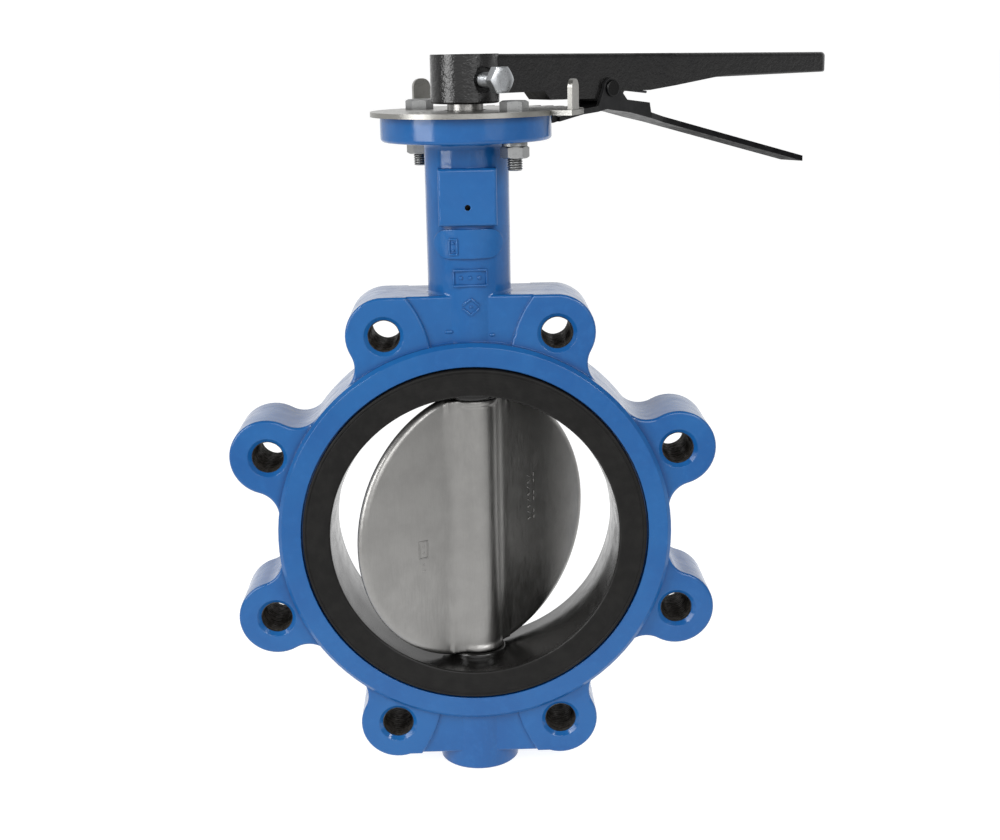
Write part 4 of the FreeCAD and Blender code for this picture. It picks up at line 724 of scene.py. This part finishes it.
def make_floor():
    """A wide, flat, pale floor that glows as painted light: brightest under and behind the object, where
    the glow washes out its shadow, dimmer to the sides, with a faint glow far in front.
    """
    sheet = bmesh.new()
    rings, steps = [0.0, 0.4, 1.0, 2.5, 6.0, 14.0, 30.0, 60.0], 48
    centre = sheet.verts.new((0, 0, FLOOR_Z))
    before = None
    for reach in rings[1:]:
        angles = [math.tau * k / steps for k in range(steps)]
        ring = [sheet.verts.new((reach * math.cos(a), reach * math.sin(a), FLOOR_Z)) for a in angles]
        for k in range(steps):
            after = (k + 1) % steps
            if before is None:
                sheet.faces.new((centre, ring[k], ring[after]))
            else:
                sheet.faces.new((before[k], ring[k], ring[after], before[after]))
        before = ring
    mesh = bpy.data.meshes.new("floor")
    sheet.to_mesh(mesh)
    sheet.free()
    floor = bpy.data.objects.new("floor", mesh)
    bpy.context.scene.collection.objects.link(floor)
    paint = Paint("floor_glow", Roughness=0.9)
    paint.set("Specular IOR Level", 0.0)
    paint.set("Base Color", paint.mix(paint.noise(300.0), (0.38, 0.38, 0.38), (0.40, 0.40, 0.40)))
    # Painted light: the floor's emission is strong under and behind the object to wash out its shadow,
    # lower at the sides, and faint far in front to light the object's front.
    behind = paint.span(paint.axis("Y"), -0.50, -0.12, 0.36, 0.86)
    outside = paint.math("ABSOLUTE", paint.axis("X"))
    outside = paint.math("SUBTRACT", outside, paint.math("MULTIPLY", paint.axis("Y"), 0.42))
    middle = paint.span(outside, 0.32, 0.62, 1.0, 0.62)
    front = paint.span(paint.axis("Y"), -2.4, -1.0, 0.40, 0.0)
    paint.set("Emission Color", (1.0, 1.0, 1.0))
    paint.set("Emission Strength", paint.math("ADD", front, paint.math("MULTIPLY", behind, middle)))
    paint.dress(floor)


def area_light(name, place, aim, width, height, radiance, colour=(1.0, 1.0, 1.0)):
    data = bpy.data.lights.new(name, "AREA")
    data.shape = "RECTANGLE"
    data.size, data.size_y = width, height
    data.color = colour
    data.energy = radiance * math.pi * width * height
    light = bpy.data.objects.new(name, data)
    bpy.context.scene.collection.objects.link(light)
    light.location = place
    light.rotation_euler = (Vector(aim) - Vector(place)).to_track_quat("-Z", "Y").to_euler()
    light.visible_camera = False


def make_world():
    """Bright behind the object, dim at the sides, paler again in front."""
    world = bpy.data.worlds.new("studio")
    bpy.context.scene.world = world
    world.use_nodes = True
    tree = world.node_tree
    background = tree.nodes["Background"]
    place = tree.nodes.new("ShaderNodeTexCoord")
    parts = tree.nodes.new("ShaderNodeSeparateXYZ")
    tree.links.new(place.outputs["Generated"], parts.inputs[0])

    def span(axis, *numbers):
        node = tree.nodes.new("ShaderNodeMapRange")
        node.interpolation_type = "SMOOTHSTEP"
        for socket, number in zip(node.inputs[1:5], numbers):
            socket.default_value = number
        tree.links.new(parts.outputs[axis], node.inputs[0])
        return node.outputs[0]

    def join(operation, first, second):
        node = tree.nodes.new("ShaderNodeMath")
        node.operation = operation
        tree.links.new(first, node.inputs[0])
        tree.links.new(second, node.inputs[1])
        return node.outputs[0]

    level = join("ADD", span("Y", 0.0, 0.55, 0.34, 1.12), span("Y", -0.95, -0.60, 0.62, 0.0))
    background.inputs["Color"].default_value = (1.0, 1.0, 1.0, 1.0)
    tree.links.new(join("MULTIPLY", level, span("Z", 0.10, 0.85, 1.0, 0.45)), background.inputs["Strength"])


make_camera()
make_floor()
make_world()
area_light("box_left", (-1.12, -0.70, 0.58), (0.0, 0.0, 0.58), 0.66, 1.0, 5.8)
area_light("box_right", (0.98, -1.26, 0.62), (0.0, 0.0, 0.62), 0.75, 1.0, 1.2)
area_light("high_left", (-1.00, -0.88, 0.95), (0.0, 0.0, 0.20), 0.35, 0.40, 9.0)
area_light("high_right", (1.00, -0.88, 0.95), (0.0, 0.0, 0.20), 0.32, 0.45, 12.0)
area_light("key_low", (0.4, -1.8, 1.0), (0.0, 0.0, 0.0), 1.0, 0.8, 4.8)
bpy.context.scene.view_settings.view_transform = "Standard"
